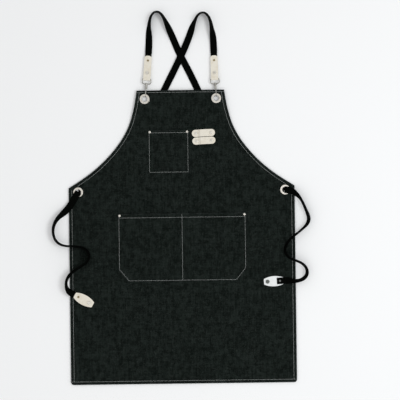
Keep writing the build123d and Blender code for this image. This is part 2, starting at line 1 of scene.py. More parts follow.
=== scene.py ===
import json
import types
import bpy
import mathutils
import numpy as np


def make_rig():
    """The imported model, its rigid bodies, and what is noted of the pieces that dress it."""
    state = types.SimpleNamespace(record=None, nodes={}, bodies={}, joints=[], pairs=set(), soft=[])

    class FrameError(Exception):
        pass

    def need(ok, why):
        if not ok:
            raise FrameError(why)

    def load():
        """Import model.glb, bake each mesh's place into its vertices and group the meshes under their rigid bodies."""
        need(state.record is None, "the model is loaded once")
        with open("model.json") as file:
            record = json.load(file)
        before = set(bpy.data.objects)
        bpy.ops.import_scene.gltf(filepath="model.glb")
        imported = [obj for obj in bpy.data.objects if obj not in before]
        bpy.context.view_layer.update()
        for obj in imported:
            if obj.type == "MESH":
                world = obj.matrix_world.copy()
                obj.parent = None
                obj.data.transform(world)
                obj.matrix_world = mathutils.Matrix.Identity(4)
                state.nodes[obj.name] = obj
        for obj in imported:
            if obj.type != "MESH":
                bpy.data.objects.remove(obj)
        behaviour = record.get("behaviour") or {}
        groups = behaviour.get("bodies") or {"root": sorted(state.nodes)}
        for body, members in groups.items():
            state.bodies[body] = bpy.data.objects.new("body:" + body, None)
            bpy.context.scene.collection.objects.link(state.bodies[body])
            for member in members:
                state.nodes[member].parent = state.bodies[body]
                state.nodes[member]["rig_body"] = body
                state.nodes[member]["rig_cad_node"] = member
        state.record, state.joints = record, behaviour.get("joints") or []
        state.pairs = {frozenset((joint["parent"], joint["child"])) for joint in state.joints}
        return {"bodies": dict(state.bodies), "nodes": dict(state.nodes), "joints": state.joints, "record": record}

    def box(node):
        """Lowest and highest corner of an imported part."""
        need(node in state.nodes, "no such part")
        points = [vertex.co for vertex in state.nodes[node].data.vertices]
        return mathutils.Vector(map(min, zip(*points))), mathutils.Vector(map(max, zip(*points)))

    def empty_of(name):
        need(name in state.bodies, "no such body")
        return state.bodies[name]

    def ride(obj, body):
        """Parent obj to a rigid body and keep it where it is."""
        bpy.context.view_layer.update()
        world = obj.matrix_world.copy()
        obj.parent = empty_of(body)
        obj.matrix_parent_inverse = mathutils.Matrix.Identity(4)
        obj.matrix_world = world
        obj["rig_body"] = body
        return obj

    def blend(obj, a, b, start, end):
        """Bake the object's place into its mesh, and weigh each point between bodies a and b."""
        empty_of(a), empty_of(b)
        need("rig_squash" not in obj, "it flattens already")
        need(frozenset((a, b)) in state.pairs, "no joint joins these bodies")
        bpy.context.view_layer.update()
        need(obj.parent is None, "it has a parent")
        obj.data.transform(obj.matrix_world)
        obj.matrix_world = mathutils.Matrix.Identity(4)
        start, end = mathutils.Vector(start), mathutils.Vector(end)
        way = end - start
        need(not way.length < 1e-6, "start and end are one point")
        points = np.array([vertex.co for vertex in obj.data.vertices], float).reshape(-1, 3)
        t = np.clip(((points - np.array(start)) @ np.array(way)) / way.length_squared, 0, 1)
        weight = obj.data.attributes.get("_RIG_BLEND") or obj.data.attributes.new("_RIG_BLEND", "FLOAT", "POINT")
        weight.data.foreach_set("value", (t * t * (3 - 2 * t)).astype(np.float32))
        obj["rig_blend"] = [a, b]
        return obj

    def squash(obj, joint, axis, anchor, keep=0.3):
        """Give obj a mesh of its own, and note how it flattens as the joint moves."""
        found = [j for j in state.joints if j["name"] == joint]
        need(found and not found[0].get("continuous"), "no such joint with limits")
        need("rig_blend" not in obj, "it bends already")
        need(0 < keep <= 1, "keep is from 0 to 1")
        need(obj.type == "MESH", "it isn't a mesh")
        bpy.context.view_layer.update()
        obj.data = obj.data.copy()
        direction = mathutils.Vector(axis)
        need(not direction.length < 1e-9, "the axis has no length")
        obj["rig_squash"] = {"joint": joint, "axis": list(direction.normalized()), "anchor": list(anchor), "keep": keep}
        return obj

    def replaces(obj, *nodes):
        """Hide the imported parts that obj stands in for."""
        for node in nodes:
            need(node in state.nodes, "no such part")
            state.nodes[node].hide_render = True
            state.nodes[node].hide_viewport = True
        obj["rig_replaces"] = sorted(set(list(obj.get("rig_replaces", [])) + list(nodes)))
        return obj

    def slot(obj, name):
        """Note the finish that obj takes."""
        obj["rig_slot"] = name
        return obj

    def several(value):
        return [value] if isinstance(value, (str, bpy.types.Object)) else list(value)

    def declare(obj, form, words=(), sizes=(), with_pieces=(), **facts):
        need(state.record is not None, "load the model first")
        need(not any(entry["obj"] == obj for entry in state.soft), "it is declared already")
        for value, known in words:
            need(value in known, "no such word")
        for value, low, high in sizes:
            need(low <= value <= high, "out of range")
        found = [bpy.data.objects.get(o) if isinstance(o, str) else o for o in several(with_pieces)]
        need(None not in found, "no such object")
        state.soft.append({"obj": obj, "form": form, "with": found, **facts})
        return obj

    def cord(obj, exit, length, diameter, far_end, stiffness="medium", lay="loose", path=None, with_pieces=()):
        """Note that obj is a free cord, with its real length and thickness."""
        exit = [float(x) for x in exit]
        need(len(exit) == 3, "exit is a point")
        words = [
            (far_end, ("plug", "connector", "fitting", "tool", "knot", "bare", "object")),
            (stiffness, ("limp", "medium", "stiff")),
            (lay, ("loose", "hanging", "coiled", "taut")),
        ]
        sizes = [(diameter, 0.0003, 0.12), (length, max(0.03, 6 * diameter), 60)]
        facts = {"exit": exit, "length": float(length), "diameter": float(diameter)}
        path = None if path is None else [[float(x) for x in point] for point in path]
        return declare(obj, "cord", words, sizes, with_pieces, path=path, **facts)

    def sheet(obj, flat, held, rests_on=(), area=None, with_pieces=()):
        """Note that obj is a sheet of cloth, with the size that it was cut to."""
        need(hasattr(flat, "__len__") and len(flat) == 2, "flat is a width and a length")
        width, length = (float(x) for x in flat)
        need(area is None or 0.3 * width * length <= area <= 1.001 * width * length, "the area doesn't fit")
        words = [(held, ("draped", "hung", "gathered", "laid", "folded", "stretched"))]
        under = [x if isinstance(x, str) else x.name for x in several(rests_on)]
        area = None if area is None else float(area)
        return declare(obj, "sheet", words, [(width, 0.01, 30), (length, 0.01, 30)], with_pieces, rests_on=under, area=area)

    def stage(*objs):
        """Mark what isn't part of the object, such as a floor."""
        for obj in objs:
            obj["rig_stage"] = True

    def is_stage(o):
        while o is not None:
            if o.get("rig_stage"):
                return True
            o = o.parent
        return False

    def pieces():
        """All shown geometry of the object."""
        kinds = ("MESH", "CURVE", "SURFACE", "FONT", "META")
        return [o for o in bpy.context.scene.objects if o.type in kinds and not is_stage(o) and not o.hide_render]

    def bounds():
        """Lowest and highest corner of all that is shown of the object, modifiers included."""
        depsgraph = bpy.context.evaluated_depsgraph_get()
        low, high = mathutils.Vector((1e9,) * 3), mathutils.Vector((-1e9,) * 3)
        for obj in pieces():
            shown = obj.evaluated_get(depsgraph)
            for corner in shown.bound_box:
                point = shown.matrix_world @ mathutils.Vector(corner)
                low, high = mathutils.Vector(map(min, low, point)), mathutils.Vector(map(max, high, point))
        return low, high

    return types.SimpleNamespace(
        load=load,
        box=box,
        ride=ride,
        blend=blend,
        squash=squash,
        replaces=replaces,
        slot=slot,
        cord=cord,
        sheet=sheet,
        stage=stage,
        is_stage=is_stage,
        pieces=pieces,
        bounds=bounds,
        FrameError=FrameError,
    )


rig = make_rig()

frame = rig.load()
import json
import math
import bpy
import bmesh
from mathutils import Matrix, Vector, noise

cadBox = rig.bounds()
mm = 0.001
panelLow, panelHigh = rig.box("body_panel")
bibTopY = panelHigh.y  # the bib's top edge
sides = {"left": -1, "right": 1}
bpy.context.scene.view_settings.view_transform = "Standard"


def at(x, drop, z=0.0):  # millimetres from the middle of the bib's top edge, down, and up off the table
    return Vector((x * mm, bibTopY - drop * mm, z * mm))


def smooth(low, high, value):
    t = min(1.0, max(0.0, (value - low) / (high - low)))
    return t * t * (3 - 2 * t)


# camera
cameraSettings = {"x": 53.8, "drop": 324.4, "height": 3.4, "across": 1.18, "roll": 0.76}


def makeCamera(settings):
    data = bpy.data.cameras.new("overheadCamera")
    data.sensor_width = 36
    data.lens = 36 * settings["height"] / settings["across"]
    camera = bpy.data.objects.new("overheadCamera", data)
    camera.location = at(settings["x"], settings["drop"]) + Vector((0, 0, settings["height"]))
    camera.rotation_euler = (0, 0, -math.radians(settings["roll"]))
    bpy.context.scene.collection.objects.link(camera)
    bpy.context.scene.camera = camera


makeCamera(cameraSettings)
print("camera placed")


# floor and light
floorSettings = {"half": 6.0, "drop": -1.5, "colour": (0.95, 0.955, 0.96, 1)}
lightSettings = [  # place, aim, size, watts, colour
    ((2.1, -0.15, 2.9), (0.15, -0.1, 0.0), 1.5, 36.0, (0.955, 0.985, 1.0)),
    ((-1.6, -1.7, 3.2), (0.0, 0.0, 0.0), 3.0, 9.0, (1.0, 0.99, 0.97)),
]
worldStrength = 0.70


def makeFloor(settings):
    material, tree, shader = startMaterial("paleFloor")
    shader.inputs["Base Color"].default_value = settings["colour"]
    shader.inputs["Roughness"].default_value = 0.9
    shader.inputs["Specular IOR Level"].default_value = 0.1
    mesh = bpy.data.meshes.new("floor")
    work = bmesh.new()
    bmesh.ops.create_grid(work, x_segments=1, y_segments=1, size=settings["half"])
    bmesh.ops.translate(work, vec=(0, 0, settings["drop"] * mm), verts=work.verts)
    work.to_mesh(mesh)
    work.free()
    mesh.materials.append(material)
    floor = bpy.data.objects.new("floor", mesh)
    bpy.context.scene.collection.objects.link(floor)
    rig.stage(floor)


def makeLights(settings):
    for index, (place, aim, size, watts, colour) in enumerate(settings):
        data = bpy.data.lights.new("softbox" + str(index), "AREA")
        data.shape = "DISK"
        data.size, data.energy, data.color = size, watts, colour
        lamp = bpy.data.objects.new("softbox" + str(index), data)
        lamp.location = place
        lamp.rotation_euler = (Vector(aim) - Vector(place)).to_track_quat("-Z", "Y").to_euler()
        bpy.context.scene.collection.objects.link(lamp)
    world = bpy.data.worlds.new("room")
    bpy.context.scene.world = world
    world.use_nodes = True
    sky = world.node_tree.nodes["Background"]
    sky.inputs["Color"].default_value = (1.0, 1.0, 1.0, 1)
    sky.inputs["Strength"].default_value = worldStrength


# shader building
def addNode(tree, kind, **settings):
    node = tree.nodes.new(kind)
    for key, value in settings.items():
        setattr(node, key, value)
    return node


def feed(tree, socket, value):  # links a socket, or sets its number or colour
    if isinstance(value, bpy.types.NodeSocket):
        tree.links.new(value, socket)
    elif value is not None:
        socket.default_value = value


def compute(tree, operation, a, b=None, c=None, clamp=False):
    node = addNode(tree, "ShaderNodeMath", operation=operation, use_clamp=clamp)
    for socket, value in zip(node.inputs, (a, b, c)):
        feed(tree, socket, value)
    return node.outputs[0]


def blendColours(tree, factor, a, b, mode="MIX"):
    node = addNode(tree, "ShaderNodeMix", data_type="RGBA", blend_type=mode)
    feed(tree, node.inputs[0], factor)
    feed(tree, node.inputs[6], a)
    feed(tree, node.inputs[7], b)
    return node.outputs[2]


def stretch(tree, vector, scale):  # a pattern's own scale on each axis
    node = addNode(tree, "ShaderNodeVectorMath", operation="MULTIPLY")
    feed(tree, node.inputs[0], vector)
    node.inputs[1].default_value = scale
    return node.outputs[0]


def cloud(tree, vector, scale, detail=4.0, roughness=0.55):
    node = addNode(tree, "ShaderNodeTexNoise")
    feed(tree, node.inputs["Vector"], vector)
    feed(tree, node.inputs["Scale"], scale)
    node.inputs["Detail"].default_value = detail
    node.inputs["Roughness"].default_value = roughness
    return node.outputs["Fac"]


def ramp(tree, value, low, high, lowTo=0.0, highTo=1.0):
    node = addNode(tree, "ShaderNodeMapRange", interpolation_type="SMOOTHSTEP")
    for socket, number in zip(node.inputs, (value, low, high, lowTo, highTo)):
        feed(tree, socket, number)
    return node.outputs[0]


def bump(tree, height, distance, strength=1.0, normal=None):
    node = addNode(tree, "ShaderNodeBump")
    node.inputs["Strength"].default_value = strength
    node.inputs["Distance"].default_value = distance
    feed(tree, node.inputs["Height"], height)
    feed(tree, node.inputs["Normal"], normal)
    return node.outputs[0]


def makeGroup(name, inputs, outputs):
    group = bpy.data.node_groups.new(name, "ShaderNodeTree")
    for label, kind in inputs:
        group.interface.new_socket(label, in_out="INPUT", socket_type=kind)
    for label in outputs:
        group.interface.new_socket(label, in_out="OUTPUT", socket_type="NodeSocketFloat")
    start = addNode(group, "NodeGroupInput")
    end = addNode(group, "NodeGroupOutput")
    return group, start.outputs, end.inputs


def useGroup(tree, group, **values):
    node = addNode(tree, "ShaderNodeGroup", node_tree=group)
    for label, value in values.items():
        feed(tree, node.inputs[label], value)
    return node.outputs


def threadWave(tree, coordinate, turns):  # one rounded hump for each thread
    return compute(tree, "ABSOLUTE", compute(tree, "SINE", compute(tree, "MULTIPLY", coordinate, turns)))


def makeWeaveGroup():  # warp and weft threads that pass over each other on the diagonal
    group, given, made = makeGroup(
        "weave",
        [("Vector", "NodeSocketVector"), ("Threads", "NodeSocketFloat"), ("Skew", "NodeSocketFloat")],
        ["Height", "Warp"],
    )
    split = addNode(group, "ShaderNodeSeparateXYZ")
    feed(group, split.inputs[0], given["Vector"])
    turns = compute(group, "MULTIPLY", given["Threads"], math.pi)
    wander = cloud(group, given["Vector"], 60.0, 3.0)
    drift = compute(group, "MULTIPLY", compute(group, "SUBTRACT", wander, 0.5), 0.0022)
    x = compute(group, "ADD", split.outputs[0], drift)
    y = compute(group, "ADD", split.outputs[1], drift)
    warp, weft = threadWave(group, x, turns), threadWave(group, y, turns)
    diagonal = compute(group, "ADD", x, compute(group, "MULTIPLY", y, given["Skew"]))
    over = compute(group, "SINE", compute(group, "MULTIPLY", diagonal, turns))
    top = ramp(group, over, -0.25, 0.25)
    low = compute(group, "MULTIPLY", compute(group, "SUBTRACT", 1.0, top), weft)
    feed(group, made["Height"], compute(group, "ADD", compute(group, "MULTIPLY", top, warp), low))
    feed(group, made["Warp"], top)
    return group


def makeMottleGroup():  # washed cloth: soft clouds and streaks, slubs along both threads and fine lint
    outputs = ["Clouds", "Slubs", "Lint"]
    group, given, made = makeGroup("washedMottle", [("Vector", "NodeSocketVector")], outputs)
    vector = given["Vector"]
    soft = cloud(group, vector, 62.0, 7.0, 0.66)
    down = cloud(group, stretch(group, vector, (1.0, 0.1, 1.0)), 230.0, 4.0, 0.6)
    over = cloud(group, stretch(group, vector, (0.1, 1.0, 1.0)), 230.0, 4.0, 0.6)
    weak = compute(group, "MULTIPLY", over, 0.2)
    streaks = compute(group, "ADD", compute(group, "MULTIPLY", down, 0.3), weak)
    feed(group, made["Clouds"], compute(group, "MULTIPLY_ADD", soft, 0.5, streaks))
    alongX = cloud(group, stretch(group, vector, (0.16, 1.0, 1.0)), 620.0, 3.0)
    alongY = cloud(group, stretch(group, vector, (1.0, 0.12, 1.0)), 620.0, 3.0)
    slubs = compute(group, "MAXIMUM", ramp(group, alongX, 0.52, 0.74), ramp(group, alongY, 0.52, 0.74))
    feed(group, made["Slubs"], slubs)
    feed(group, made["Lint"], cloud(group, vector, 260.0, 6.0, 0.7))
    return group


def makeHideGroup():  # leather: pores, faint creases and uneven tan
    group, given, made = makeGroup("hide", [("Vector", "NodeSocketVector")], ["Height", "Tan", "Pores"])
    pores = addNode(group, "ShaderNodeTexVoronoi")
    feed(group, pores.inputs["Vector"], given["Vector"])
    pores.inputs["Scale"].default_value = 1500.0
    creases = cloud(group, stretch(group, given["Vector"], (1.0, 0.4, 1.0)), 420.0, 8.0, 0.68)
    grain = compute(group, "MULTIPLY", pores.outputs["Distance"], 0.6)
    feed(group, made["Height"], compute(group, "ADD", grain, creases))
    feed(group, made["Tan"], cloud(group, given["Vector"], 75.0, 4.0, 0.6))
    feed(group, made["Pores"], ramp(group, pores.outputs["Distance"], 0.02, 0.35))
    return group


def makePolishGroup():  # plated metal: hairline scratches, handling smears and tarnish in hollows
    outputs = ["Scratches", "Smears", "Tarnish"]
    group, given, made = makeGroup("polish", [("Vector", "NodeSocketVector")], outputs)
    lines = cloud(group, stretch(group, given["Vector"], (1.0, 0.05, 1.0)), 2600.0, 2.0)
    feed(group, made["Scratches"], ramp(group, lines, 0.5, 0.68))
    feed(group, made["Smears"], cloud(group, given["Vector"], 230.0, 4.0))
    feed(group, made["Tarnish"], ramp(group, cloud(group, given["Vector"], 120.0, 5.0), 0.46, 0.72))
    return group


weaveGroup, mottleGroup = makeWeaveGroup(), makeMottleGroup()
hideGroup, polishGroup = makeHideGroup(), makePolishGroup()


def startMaterial(name):
    material = bpy.data.materials.new(name)
    material.use_nodes = True
    tree = material.node_tree
    return material, tree, tree.nodes["Principled BSDF"]


def objectCoordinates(tree):
    return addNode(tree, "ShaderNodeTexCoord").outputs["Object"]


def uvCoordinates(tree):
    return addNode(tree, "ShaderNodeUVMap", uv_map="clothUv").outputs[0]


canvasSettings = {
    "ground": (0.0009, 0.003, 0.0019, 1), "faded": (0.0092, 0.0138, 0.0116, 1),
    "lint": (0.038, 0.044, 0.041, 1), "worn": (0.055, 0.062, 0.06, 1), "threads": 1150.0,
}


def makeCanvas(settings):
    material, tree, shader = startMaterial("washedCanvas")
    vector = objectCoordinates(tree)
    weave = useGroup(tree, weaveGroup, Vector=vector, Threads=settings["threads"], Skew=1.0)
    wash = useGroup(tree, mottleGroup, Vector=vector)
    faded = ramp(tree, wash["Clouds"], 0.42, 0.60)
    colour = blendColours(tree, faded, settings["ground"], settings["faded"])
    slubs = compute(tree, "MULTIPLY", wash["Slubs"], compute(tree, "MULTIPLY", weave["Warp"], 0.6))
    colour = blendColours(tree, slubs, colour, settings["lint"])
    speck = compute(tree, "MULTIPLY", ramp(tree, wash["Lint"], 0.52, 0.72), 0.5)
    colour = blendColours(tree, speck, colour, settings["lint"])
    wear = addNode(tree, "ShaderNodeAttribute", attribute_name="seamWear").outputs["Fac"]
    rubbed = compute(tree, "MULTIPLY", wear, ramp(tree, wash["Lint"], 0.36, 0.62, 0.2, 1.0), clamp=True)
    colour = blendColours(tree, rubbed, colour, settings["worn"])
    feed(tree, shader.inputs["Base Color"], colour)
    feed(tree, shader.inputs["Roughness"], ramp(tree, wash["Lint"], 0.3, 0.7, 0.86, 0.98))
    shader.inputs["Specular IOR Level"].default_value = 0.1
    threads = bump(tree, weave["Height"], 0.00022, 0.7)
    feed(tree, shader.inputs["Normal"], bump(tree, wash["Lint"], 0.0007, 0.5, threads))
    return material


webbingSettings = {"dark": (0.0003, 0.0006, 0.0003, 1), "light": (0.0022, 0.0034, 0.0024, 1), "ribs": 900.0}


def makeWebbing(settings):
    material, tree, shader = startMaterial("blackWebbing")
    vector = uvCoordinates(tree)
    weave = useGroup(tree, weaveGroup, Vector=vector, Threads=settings["ribs"], Skew=0.5)
    wash = useGroup(tree, mottleGroup, Vector=objectCoordinates(tree))
    split = addNode(tree, "ShaderNodeSeparateXYZ")
    feed(tree, split.inputs[0], vector)
    edge = compute(tree, "ABSOLUTE", compute(tree, "SUBTRACT", split.outputs[0], 0.01))
    selvedge = ramp(tree, edge, 0.0082, 0.0093)
    rubbed = compute(tree, "MULTIPLY", selvedge, 0.2)
    worn = compute(tree, "ADD", compute(tree, "MULTIPLY", wash["Lint"], 0.7), rubbed)
    fade = compute(tree, "MULTIPLY", worn, weave["Height"])
    colour = blendColours(tree, fade, settings["dark"], settings["light"])
    feed(tree, shader.inputs["Base Color"], colour)
    feed(tree, shader.inputs["Roughness"], ramp(tree, wash["Lint"], 0.3, 0.7, 0.8, 0.95))
    shader.inputs["Specular IOR Level"].default_value = 0.04
    ridge = compute(tree, "ADD", weave["Height"], compute(tree, "MULTIPLY", selvedge, -0.8))
    feed(tree, shader.inputs["Normal"], bump(tree, ridge, 0.00035, 0.9))
    return material


def makeThread():
    material, tree, shader = startMaterial("paleThread")
    vector = objectCoordinates(tree)
    wash = useGroup(tree, mottleGroup, Vector=vector)
    colour = blendColours(tree, wash["Lint"], (0.36, 0.38, 0.37, 1), (0.62, 0.64, 0.62, 1))
    feed(tree, shader.inputs["Base Color"], colour)
    feed(tree, shader.inputs["Roughness"], ramp(tree, wash["Lint"], 0.3, 0.7, 0.6, 0.8))
    twist = addNode(tree, "ShaderNodeTexWave", bands_direction="DIAGONAL")
    feed(tree, twist.inputs["Vector"], vector)
    twist.inputs["Scale"].default_value = 520.0
    feed(tree, shader.inputs["Normal"], bump(tree, twist.outputs["Fac"], 0.0002, 0.6))
    return material


leatherFront = {
    "name": "creamLeather", "pale": (0.80, 0.755, 0.655, 1), "deep": (0.69, 0.62, 0.49, 1),
    "rough": (0.42, 0.6),
}
leatherFlesh = {
    "name": "fleshSideLeather", "pale": (0.83, 0.85, 0.85, 1), "deep": (0.69, 0.70, 0.68, 1),
    "rough": (0.7, 0.9),
}


def makeLeather(settings):
    material, tree, shader = startMaterial(settings["name"])
    vector = objectCoordinates(tree)
    hide = useGroup(tree, hideGroup, Vector=vector)
    tan = ramp(tree, hide["Tan"], 0.42, 0.72)
    colour = blendColours(tree, compute(tree, "MULTIPLY", tan, 0.6), settings["pale"], settings["deep"])
    pits = compute(tree, "MULTIPLY", compute(tree, "SUBTRACT", 1.0, hide["Pores"]), 0.25)
    colour = blendColours(tree, pits, colour, settings["deep"])
    handled = addNode(tree, "ShaderNodeAttribute", attribute_name="seamWear").outputs["Fac"]
    colour = blendColours(tree, compute(tree, "MULTIPLY", handled, 0.75), colour, (0.36, 0.27, 0.16, 1))
    feed(tree, shader.inputs["Base Color"], colour)
    feed(tree, shader.inputs["Roughness"], ramp(tree, hide["Tan"], 0.3, 0.7, *settings["rough"]))
    shader.inputs["Specular IOR Level"].default_value = 0.4
    feed(tree, shader.inputs["Normal"], bump(tree, hide["Height"], 0.00018, 0.7))
    return material


eyeletFinish = {
    "name": "nickelEyelet", "bright": (0.82, 0.78, 0.71, 1), "dull": (0.60, 0.55, 0.46, 1),
    "rough": (0.2, 0.42),
}
clipFinish = {
    "name": "darkNickelClip", "bright": (0.44, 0.43, 0.40, 1), "dull": (0.15, 0.14, 0.12, 1),
    "rough": (0.24, 0.5),
}
rivetFinish = {
    "name": "satinRivet", "bright": (0.80, 0.77, 0.70, 1), "dull": (0.45, 0.42, 0.36, 1),
    "rough": (0.22, 0.45),
}
brassFinish = {
    "name": "agedBrassRivet", "bright": (0.30, 0.24, 0.13, 1), "dull": (0.10, 0.07, 0.04, 1),
    "rough": (0.3, 0.55),
}
gunFinish = {
    "name": "gunmetalRivet", "bright": (0.16, 0.17, 0.16, 1), "dull": (0.05, 0.05, 0.05, 1),
    "rough": (0.3, 0.5),
}


def makeMetal(settings):
    material, tree, shader = startMaterial(settings["name"])
    polish = useGroup(tree, polishGroup, Vector=objectCoordinates(tree))
    tarnish = compute(tree, "MULTIPLY", polish["Tarnish"], 0.7)
    colour = blendColours(tree, tarnish, settings["bright"], settings["dull"])
    feed(tree, shader.inputs["Base Color"], colour)
    shader.inputs["Metallic"].default_value = 1.0
    low, high = settings["rough"]
    smeared = ramp(tree, polish["Smears"], 0.35, 0.7, low, high)
    feed(tree, shader.inputs["Roughness"], compute(tree, "MULTIPLY_ADD", polish["Scratches"], 0.1, smeared))
    feed(tree, shader.inputs["Normal"], bump(tree, polish["Scratches"], 0.00004, 0.5))
    return material


canvas, webbing, thread = makeCanvas(canvasSettings), makeWebbing(webbingSettings), makeThread()
leather, fleshLeather = makeLeather(leatherFront), makeLeather(leatherFlesh)
eyeletMetal, clipMetal, rivetMetal = makeMetal(eyeletFinish), makeMetal(clipFinish), makeMetal(rivetFinish)
brassMetal, gunMetal = makeMetal(brassFinish), makeMetal(gunFinish)
print("materials made")


makeFloor(floorSettings)
makeLights(lightSettings)
print("stage set")


# pieces: shared makers
def finishPiece(name, work, material, slot, wear=None, sharp=48):  # bmesh to a linked object with smooth faces
    mesh = bpy.data.meshes.new(name)
    work.to_mesh(mesh)
    work.free()
    mesh.polygons.foreach_set("use_smooth", [True] * len(mesh.polygons))
    if sharp:
        mesh.set_sharp_from_angle(angle=math.radians(sharp))
    mesh.materials.append(material)
    if wear:
        layer = mesh.attributes.new("seamWear", "FLOAT", "POINT")
        layer.data.foreach_set("value", [wear(v.co) for v in mesh.vertices])
    piece = bpy.data.objects.new(name, mesh)
    bpy.context.scene.collection.objects.link(piece)
    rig.slot(piece, slot)
    return piece


def clothGrid(columns, rows, place, size=(1.0, 1.0)):  # a grid bent into shape by place(across, along)
    work = bmesh.new()
    uv = work.loops.layers.uv.new("clothUv")
    bmesh.ops.create_grid(work, x_segments=columns, y_segments=rows, size=0.5, calc_uvs=True)
    for vert in work.verts:
        vert.co = place(vert.co.x + 0.5, vert.co.y + 0.5)
    for face in work.faces:
        for loop in face.loops:
            loop[uv].uv = (loop[uv].uv.x * size[0], loop[uv].uv.y * size[1])
    work.normal_update()
    if sum(face.normal.z for face in work.faces) < 0:
        bmesh.ops.reverse_faces(work, faces=work.faces)
    return work


def thicken(piece, thickness, offset=0.0, bevel=0.0):  # gives a sheet its thickness and keeps the result
    solid = piece.modifiers.new("thickness", "SOLIDIFY")
    solid.thickness = thickness * mm
    solid.offset = offset
    if bevel:
        edge = piece.modifiers.new("edge", "BEVEL")
        edge.width = bevel * mm
        edge.segments = 2
        edge.limit_method = "ANGLE"
        edge.angle_limit = math.radians(55)
    bpy.context.view_layer.update()
    graph = bpy.context.evaluated_depsgraph_get()
    done = piece.evaluated_get(graph)
    mesh = bpy.data.meshes.new_from_object(done, preserve_all_data_layers=True, depsgraph=graph)
    piece.modifiers.clear()
    piece.data = mesh
    return piece


def addTo(target, source):  # moves one bmesh's faces into another
    mesh = bpy.data.meshes.new("part")
    source.to_mesh(mesh)
    source.free()
    target.from_mesh(mesh)
    bpy.data.meshes.remove(mesh)


# outline of the apron
outline = {
    "bends": [(0, 129, 0.132), (89, 148, 0.33), (160, 186, 0.75), (231, 254, 1.2), (285, 333, 1.664)],
    "sideHalf": 333.0, "length": 865.0, "corner": 9.0, "front": 2.8, "rise": 3.4, "riseEnds": (42, 112),
}


def plainHalfWidth(drop):  # half the apron's width at a drop, corners left square
    bends = outline["bends"]
    if drop >= bends[-1][0]:
        return outline["sideHalf"]
    drop = max(0.0, drop)
    for (d0, w0, s0), (d1, w1, s1) in zip(bends, bends[1:]):
        if drop <= d1:
            span = d1 - d0
            t = (drop - d0) / span
            a = (2 * t ** 3 - 3 * t ** 2 + 1) * w0 + (t ** 3 - 2 * t ** 2 + t) * span * s0
            return a + (3 * t ** 2 - 2 * t ** 3) * w1 + (t ** 3 - t ** 2) * span * s1


def halfWidth(drop):
    into = drop - (outline["length"] - outline["corner"])
    cut = outline["corner"] - math.sqrt(max(0.0, outline["corner"] ** 2 - into ** 2)) if into > 0 else 0.0
    return plainHalfWidth(drop) - cut


def edgeAngle(drop):  # how far the edge leans out from straight down
    reach = 5.0
    lean = math.atan2(plainHalfWidth(drop + reach) - plainHalfWidth(drop - reach), 2 * reach)
    return lean * smooth(0, 16, drop)


def inside(drop, inset):  # (half x, drop) of a point inside the right edge
    lean = edgeAngle(drop)
    tilt = lean * (1 - smooth(225, 288, drop))  # the rows turn level before the waist corner
    reach = inset / math.cos(lean - tilt)
    return halfWidth(drop) - reach * math.cos(tilt), drop + reach * math.sin(tilt)


def bibRise(drop):
    low, high = outline["riseEnds"]
    return outline["rise"] * (1 - smooth(low, high, drop))


clothSettings = {"wave": 0.5, "pucker": 0.22, "puckerEvery": 11.0, "groove": 0.3, "seam": 9.0}
calmSpots = [  # x, drop, and the distances where it starts and ends
    (105.5, 25, 16, 34), (-105.5, 25, 16, 34), (305, 297, 16, 34), (-305, 297, 16, 34), (67, 138, 42, 60),
]


def calm(x, drop):  # 0 where metal or leather is clamped to the cloth, 1 away from it
    return min(smooth(near, far, math.hypot(x - cx, drop - cd)) for cx, cd, near, far in calmSpots)


def seamDip(inset):
    return -clothSettings["groove"] * math.exp(-((inset - clothSettings["seam"]) / 1.5) ** 2)


def clothHeight(x, drop, inset=99.0, along=0.0):  # the cloth's front, in millimetres
    soft = noise.noise(Vector((x / 95, drop / 120, 3.1))) + 0.5 * noise.noise(Vector((x / 38, drop / 33, 8.7)))
    wave = clothSettings["wave"] * max(0.0, soft + 0.25)
    wander = 3 * noise.noise(Vector((along / 40, 0, 1)))
    ripple = math.sin(math.tau * along / clothSettings["puckerEvery"] + wander)
    pucker = clothSettings["pucker"] * (1 + ripple) * smooth(0, 4, inset) * (1 - smooth(7, 17, inset))
    relief = wave * smooth(8, 40, inset) + pucker + seamDip(inset)
    return outline["front"] + bibRise(drop) + calm(x, drop) * relief


edgeSteps = [0.8, 2, 3.5, 5, 6.5, 8, 9, 10, 11.5, 13.5, 16, 19]
rowSteps = [0.8, 2, 3.5, 5, 6, 7, 8.5, 10.5, 13, 16]
print("outline ready")


